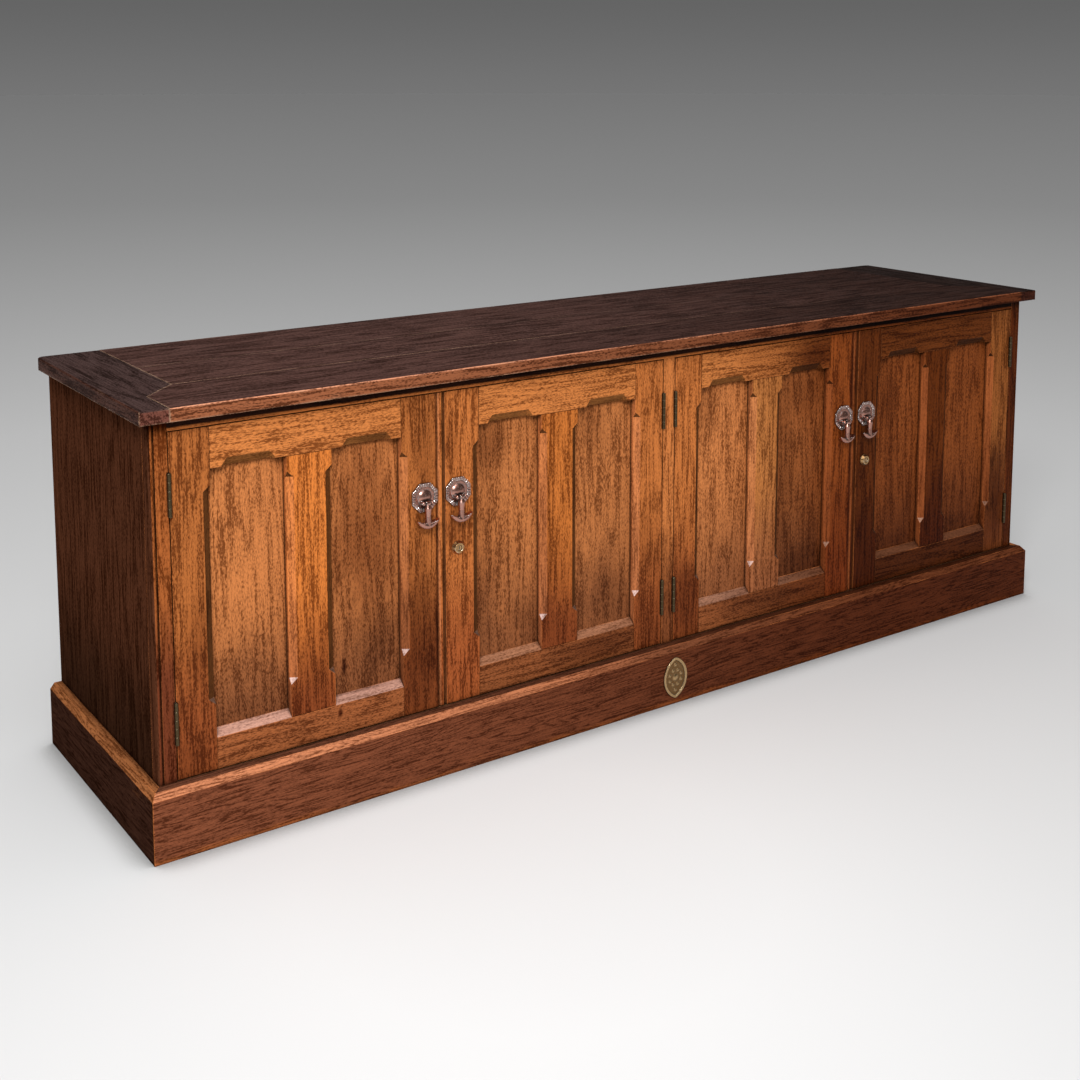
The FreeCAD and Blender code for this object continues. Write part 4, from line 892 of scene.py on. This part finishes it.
# Handled and smoke-stained patches of the boards, and painted shadow lines along the gaps where the doors of
# a pair meet: x, z, half width, half height, share.
STAINS_AND_SHADOW_LINES = {
    ("hinge_stile", 1): ((-1.08, 0.15, 0.03, 0.05, 0.25), (-1.05, 0.38, 0.03, 0.10, 0.3)),
    # Its narrow tall patch at x -0.576 is a painted shadow line along the gap between doors 1 and 2.
    ("meeting_stile", 1): (
        (-0.615, 0.28, 0.05, 0.20, 0.5), (-0.600, 0.62, 0.03, 0.12, 0.3), (-0.576, 0.43, 0.004, 0.60, 0.95)
    ),
    ("muntin", 1): ((-0.83, 0.27, 0.04, 0.10, 0.2),),
    ("rails", 1): (
        (-0.785, 0.168, 0.005, 0.009, 0.95), (-0.70, 0.67, 0.05, 0.02, 0.4), (-0.72, 0.21, 0.10, 0.02, 0.7)
    ),
    ("panels", 1): (
        (-0.72, 0.49, 0.09, 0.26, 0.62), (-0.70, 0.31, 0.05, 0.07, 0.2), (-0.768, 0.249, 0.006, 0.020, 0.9),
        (-0.96, 0.20, 0.09, 0.05, 0.2),
    ),
    ("meeting_stile", 2): ((-0.535, 0.47, 0.03, 0.04, 0.4), (-0.545, 0.64, 0.02, 0.06, 0.4)),
    ("muntin", 2): ((-0.29, 0.22, 0.04, 0.05, 0.15), (-0.32, 0.40, 0.012, 0.20, 0.3)),
    ("rails", 2): ((-0.20, 0.155, 0.13, 0.04, 0.6),),
    ("panels", 2): (
        (-0.45, 0.62, 0.05, 0.09, 0.5), (-0.46, 0.42, 0.03, 0.20, 0.3), (-0.20, 0.63, 0.05, 0.06, 0.35),
        (-0.15, 0.26, 0.06, 0.08, 0.3), (-0.36, 0.25, 0.05, 0.07, 0.3),
    ),
    ("hinge_stile", 2): ((-0.05, 0.15, 0.05, 0.05, 0.25), (-0.07, 0.38, 0.04, 0.10, 0.25)),
    ("hinge_stile", 3): ((0.04, 0.20, 0.05, 0.10, 0.5),),
    ("rails", 3): ((0.42, 0.70, 0.09, 0.05, 0.7), (0.25, 0.16, 0.20, 0.04, 0.5)),
    ("panels", 3): (
        (0.10, 0.62, 0.04, 0.08, 0.3), (0.33, 0.45, 0.04, 0.25, 0.4), (0.40, 0.62, 0.08, 0.06, 0.25),
        (0.385, 0.215, 0.09, 0.05, 0.45),
    ),
    # Its narrow tall patch at x 0.535 is a painted shadow line along the gap between doors 3 and 4.
    ("meeting_stile", 3): ((0.51, 0.30, 0.04, 0.20, 0.15), (0.535, 0.43, 0.006, 0.60, 0.9)),
    ("panels", 4): (
        (0.67, 0.57, 0.03, 0.06, 0.4), (0.69, 0.42, 0.02, 0.18, 0.25), (0.70, 0.205, 0.08, 0.04, 0.35),
        (0.93, 0.205, 0.08, 0.04, 0.25),
    ),
    ("hinge_stile", 4): ((1.06, 0.26, 0.05, 0.16, 0.65),),
}
# Seeds that keep the grain of one door, and of one board in it, apart from the next.
DOOR_SEED = 2.9
BOARD_SEEDS = {"hinge_stile": 1.1, "meeting_stile": 1.3, "rails": 0.7, "muntin": 1.5, "panels": 2.1}
# How far the frame members run into one another behind their joints.
TENON = 0.01
# Shares of the muntin's height between which the doors' boards turn to the colours of their feet.
DOOR_FOOT_SHARES = (0.05, 0.6)
# How fully chamfers, stops and sills show their painted light and shade.
CHAMFER_COVER = 0.9
# The left-hand and right-hand doors of the pairs, and how rubbed their meeting stiles are; the stronger
# rubbing on the right-hand leaves' beads is also a painted highlight.
LEFT_LEAVES = (1, 3)
RIGHT_LEAVES = (2, 4)
LEFT_LEAF_WEAR = 0.3
RIGHT_LEAF_WEAR_AND_HIGHLIGHT = 0.7


class DRESSER_OT_doors(DresserOperator):
    """Finish the stiles, rails, muntin and panels of the four doors"""

    bl_idname = "dresser.doors"
    bl_label = "Doors"

    def execute(self, context):
        oaks = context.scene.dresser_oak
        for door in DOORS:
            self.finish_door(oaks, door)
        return {"FINISHED"}

    def finish_door(self, oaks, door):
        """Finishes the boards of one door."""
        piece = f"door_{door}_"
        low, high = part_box(piece + "muntin")
        rise = high.z - low.z
        foot_span = tuple(low.z + share * rise for share in DOOR_FOOT_SHARES)

        def finish_board(board, along, colour, foot, **marks):
            tone = tint(BOARD_TONES[board][door])
            foot_tone = tinted(tone, tint(FOOT_TONES.get((board, door), 1.0)), MOST_TONE)
            seed = DOOR_SEED * door + BOARD_SEEDS[board]
            wood = oak(
                oaks, f"oak_{piece}{board}", along, tinted(colour, tone), seed,
                foot=tinted(foot, foot_tone), span=foot_span, face_grain=0.5, darker_end_span=FRONT_DARKER_END,
                stains_and_shadows=STAINS_AND_SHADOW_LINES.get((board, door), ()), **marks,
            )
            put_on(wood, piece + board)

        chamfer_tone = tint(CHAMFER_TONES[door])
        # Painted light and shade on the chamfers: lit where turned left, shaded where turned right or down,
        # with a painted highlight on the sloping stops.
        chamfers = {
            "left": (tinted(oaks.lit_chamfer, chamfer_tone), CHAMFER_SHARES[door]),
            "sloping": (tinted(oaks.stop, chamfer_tone), CHAMFER_COVER),
            "right": (oaks.shaded_chamfer, CHAMFER_COVER),
            "down": (oaks.shaded_chamfer, CHAMFER_COVER),
        }
        soffit_tone = tint(BOARD_TONES["rails"][door] / BOARD_TONES["rails"][1])
        # The sills show their own oak with a painted highlight from above; the chamfers under the top rails
        # are painted shaded.
        sills = {
            "sloping": (tinted(oaks.sill_with_highlight, tint(SILL_TONES[door])), CHAMFER_COVER),
            "down": (tinted(oaks.shaded_soffit, soffit_tone), CHAMFER_COVER),
        }
        ends = (("Z", low.z + TENON), ("Z", high.z - TENON))
        meeting_wear_and_highlight = LEFT_LEAF_WEAR if door in LEFT_LEAVES else RIGHT_LEAF_WEAR_AND_HIGHLIGHT
        finish_board("hinge_stile", "Z", oaks.stile, oaks.stile_foot, turned=chamfers)
        finish_board(
            "meeting_stile", "Z", oaks.stile, oaks.stile_foot, turned=chamfers, wear=meeting_wear_and_highlight, grime=0.6
        )
        finish_board("muntin", "Z", oaks.muntin, oaks.muntin_foot, turned=chamfers, seams=ends)
        finish_board(
            "rails", "X", oaks.rail, oaks.rail_foot, turned=sills, seams=self.shoulders(piece), flecks=0.65
        )
        # The panels' edges against the rails, stiles and muntin get dark seams as painted shadow lines, and a
        # wider reach of painted shade.
        finish_board(
            "panels", "Z", oaks.panel, oaks.panel_foot, seams=ends + self.openings(piece),
            seam_width=0.0035, reach=0.03, grime=0.7, contrast=1.25, flecks=0.7,
        )

    def openings(self, piece):
        """Where the panels meet the stiles and the muntin; painted shadow lines are laid there."""
        uprights = [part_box(piece + board) for board in ("hinge_stile", "muntin", "meeting_stile")]
        left, middle, right = sorted(uprights, key=lambda box: box[0].x)
        return (("X", left[1].x), ("X", middle[0].x), ("X", middle[1].x), ("X", right[0].x))

    def shoulders(self, piece):
        """Where the rails meet the inner edges of the two stiles."""
        low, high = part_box(piece + "rails")
        return (("X", low.x + TENON), ("X", high.x - TENON))


# How far patina reaches out of the recesses of the smallest fittings.
FINE_REACH = 0.004
# How far the ground and the tops of the ornament's pattern stand out from its back.
ORNAMENT_GROUND = 0.0009
ORNAMENT_TOPS = 0.0022


class DRESSER_OT_hinges(DresserOperator):
    """Finish the butt hinges"""

    bl_idname = "dresser.hinges"
    bl_label = "Hinges"

    def execute(self, context):
        metals = context.scene.dresser_metal
        hinge = metal(
            "metal_hinges", metals.hinge, metals.hinge_dark, metals.hinge_bright, gloss=0.36, seed=1.1
        )
        put_on(hinge, "hinge_frame_leaves", "hinge_pins")
        for door in DOORS:
            put_on(hinge, f"door_{door}_hinge_leaves")
        return {"FINISHED"}


class DRESSER_OT_handles(DresserOperator):
    """Finish the plates and drops of the handles"""

    bl_idname = "dresser.handles"
    bl_label = "Handles"

    def execute(self, context):
        metals = context.scene.dresser_metal
        bronze = metal(
            "metal_handles", metals.bronze, metals.bronze_dark, metals.bronze_bright, gloss=0.24, seed=2.2
        )
        for door in DOORS:
            put_on(bronze, f"door_{door}_handle_plate", f"door_{door}_handle_drop")
        return {"FINISHED"}


class DRESSER_OT_locks(DresserOperator):
    """Finish the locks and the turn-buttons"""

    bl_idname = "dresser.locks"
    bl_label = "Locks and Buttons"

    def execute(self, context):
        metals = context.scene.dresser_metal
        lock = metal(
            "metal_locks", metals.lock, metals.lock_dark, metals.lock_bright, reach=FINE_REACH, patchy=0.6,
            gloss=0.22, seed=3.3,
        )
        button = metal(
            "metal_buttons", metals.button, metals.lock_dark, metals.ornament_bright, patchy=0.9, seed=4.4
        )
        for door in RIGHT_LEAVES:
            put_on(lock, f"door_{door}_lock_barrel", f"door_{door}_lock_plug")
        for door in LEFT_LEAVES:
            put_on(button, f"door_{door}_turn_button")
        return {"FINISHED"}


class DRESSER_OT_ornament(DresserOperator):
    """Finish the brass plate on the plinth"""

    bl_idname = "dresser.ornament"
    bl_label = "Ornament"

    def execute(self, context):
        metals = context.scene.dresser_metal
        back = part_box("plinth_ornament")[1].y
        brass = metal(
            "metal_ornament", metals.ornament, metals.ornament_dark, metals.ornament_bright, reach=FINE_REACH,
            relief=(back - ORNAMENT_GROUND, back - ORNAMENT_TOPS), patchy=1.3, seed=5.5,
        )
        put_on(brass, "plinth_ornament")
        return {"FINISHED"}


# The point that the key lamp is aimed at, and the way that the overhead light falls.
KEY_AIM = (0.0, 0.0, 0.35)
OVERHEAD_WAY = (0.15, 0.45, -1.0)
# Corners of the round floor, the middle of the pool of light painted on it, where it is palest, and the
# distance from there that counts as halfway.
FLOOR_CORNERS = 96
FLOOR_MIDDLE = (-0.65, -0.7, 0.0)
FLOOR_HALFWAY = 4.0
# Shares of the way out at which the floor takes its colours, from the palest to the farthest.
FLOOR_STOPS = (0.09, 0.18, 0.47, 0.76, 0.93)
# Painted shadow on the floor against the plinth: how far it reaches, where it sets in, and its strength.
CONTACT_REACH = 0.07
CONTACT_SPAN = (0.1, 0.55)
CONTACT_SHARE = 0.7
# Heights on the backdrop between which it darkens, as shares of its radius.
BACKDROP_SPAN = (-0.06, 0.06)


class DRESSER_OT_stage(DresserOperator):
    """Set the camera, the lamps, the floor and the backdrop"""

    bl_idname = "dresser.stage"
    bl_label = "Stage"

    def execute(self, context):
        stage = context.scene.dresser_stage
        context.scene.view_settings.view_transform = "Standard"
        self.set_camera(context, stage)
        self.hang_lamps(context, stage)
        self.lay_floor(context, stage)
        self.colour_backdrop(context, stage)
        return {"FINISHED"}

    def add(self, context, name, data):
        """Puts a new object in the scene."""
        made = bpy.data.objects.new(name, data)
        context.scene.collection.objects.link(made)
        return made

    def aim(self, thing, way):
        """Turns a camera or a lamp to look along a way."""
        thing.rotation_euler = way.to_track_quat("-Z", "Y").to_euler()

    def set_camera(self, context, stage):
        """Stands the camera in its place."""
        turn, tilt = stage.camera_turn, stage.camera_tilt
        back = Vector((
            math.sin(turn) * math.cos(tilt),
            -math.cos(turn) * math.cos(tilt),
            math.sin(tilt),
        ))
        lens = bpy.data.cameras.new("stage_camera")
        lens.lens = stage.lens
        lens.shift_y = stage.frame_shift
        camera = self.add(context, "stage_camera", lens)
        camera.location = stage.camera_place
        self.aim(camera, -back)
        context.scene.camera = camera

    def hang_lamps(self, context, stage):
        """Hangs the key lamp and the soft light from overhead."""
        lamp = bpy.data.lights.new("stage_key", "AREA")
        lamp.size = stage.key_size
        lamp.energy = stage.key_power
        key = self.add(context, "stage_key", lamp)
        key.location = stage.key_place
        self.aim(key, Vector(KEY_AIM) - key.location)
        lamp = bpy.data.lights.new("stage_overhead", "SUN")
        lamp.energy = stage.sun_power
        lamp.angle = stage.sun_spread
        self.aim(self.add(context, "stage_overhead", lamp), Vector(OVERHEAD_WAY))

    def lay_floor(self, context, stage):
        """Lays a round floor with a painted pool of light, paler in front of the object than far behind it.
        """
        angles = [math.tau * corner / FLOOR_CORNERS for corner in range(FLOOR_CORNERS)]
        rim = [
            (stage.floor_radius * math.cos(angle), stage.floor_radius * math.sin(angle), 0.0)
            for angle in angles
        ]
        mesh = bpy.data.meshes.new("stage_floor")
        mesh.from_pydata(rim, [], [list(range(FLOOR_CORNERS))])
        floor = self.add(context, "stage_floor", mesh)
        material, finish = new_finish("stage_floor")
        place = finish.vector("SUBTRACT", finish.place(), FLOOR_MIDDLE)
        away = finish.node("ShaderNodeVectorMath", {"operation": "LENGTH"}, {0: place}, "Value")
        colours = (stage.floor_near, stage.floor_beside, stage.floor_mid, stage.floor_far, stage.floor_edge)
        shade = finish.ramp(away / (away + FLOOR_HALFWAY), *zip(FLOOR_STOPS, colours))
        # The floor is painted darker with the contact shadow where the plinth stands close.
        close = finish.corners(CONTACT_REACH).step(*CONTACT_SPAN) * CONTACT_SHARE
        shade = finish.mix(close, shade, stage.floor_shade)
        finish.surface({"Base Color": shade, "Roughness": 0.9, "Specular IOR Level": 0.0})
        mesh.materials.append(material)

    def colour_backdrop(self, context, stage):
        """Colours the backdrop, and lights the object evenly from all round."""
        world = bpy.data.worlds.new("stage_world")
        world.use_nodes = True
        context.scene.world = world
        finish = Finish(world.node_tree)
        light = finish.node("ShaderNodeLightPath", output="Is Camera Ray")
        seen = light.most(light.also("Is Glossy Ray")).most(light.also("Is Transmission Ray"))
        height = finish.parts(finish.node("ShaderNodeTexCoord", output="Generated"))[2]
        sky = finish.mix(height.step(*BACKDROP_SPAN), stage.backdrop, stage.backdrop_high)
        even = (stage.fill, stage.fill, stage.fill)
        ground = finish.node(
            "ShaderNodeBackground", None, {"Color": finish.mix(seen, even, sky), "Strength": 1.0}
        )
        finish.node("ShaderNodeOutputWorld", None, {"Surface": ground})


class DRESSER_PT_finishes(Panel):
    """Finishes of the dresser base"""

    bl_idname = "DRESSER_PT_finishes"
    bl_label = "Dresser Base"
    bl_space_type = "VIEW_3D"
    bl_region_type = "UI"
    bl_category = "Dresser"

    def draw(self, context):
        for operator in OPERATORS:
            self.layout.operator(operator.bl_idname)
        for name in SETTINGS:
            group = getattr(context.scene, name)
            column = self.layout.column(align=True)
            for prop in group.bl_rna.properties:
                if prop.identifier not in ("rna_type", "name"):
                    column.prop(group, prop.identifier)


OPERATORS = (
    DRESSER_OT_top,
    DRESSER_OT_sides,
    DRESSER_OT_face_frame,
    DRESSER_OT_plinth,
    DRESSER_OT_inside,
    DRESSER_OT_doors,
    DRESSER_OT_hinges,
    DRESSER_OT_handles,
    DRESSER_OT_locks,
    DRESSER_OT_ornament,
    DRESSER_OT_stage,
)
SETTINGS = {
    "dresser_oak": OakSettings,
    "dresser_metal": MetalSettings,
    "dresser_stage": StageSettings,
}
CLASSES = (*SETTINGS.values(), *OPERATORS, DRESSER_PT_finishes)


def register():
    for each in CLASSES:
        bpy.utils.register_class(each)
    for name, group in SETTINGS.items():
        setattr(bpy.types.Scene, name, PointerProperty(type=group))


def unregister():
    for name in SETTINGS:
        delattr(bpy.types.Scene, name)
    for each in reversed(CLASSES):
        bpy.utils.unregister_class(each)


def main():
    register()
    bpy.ops.dresser.top()
    bpy.ops.dresser.sides()
    bpy.ops.dresser.face_frame()
    bpy.ops.dresser.plinth()
    bpy.ops.dresser.inside()
    bpy.ops.dresser.doors()
    bpy.ops.dresser.hinges()
    bpy.ops.dresser.handles()
    bpy.ops.dresser.locks()
    bpy.ops.dresser.ornament()
    bpy.ops.dresser.stage()


if __name__ == "__main__":
    main()
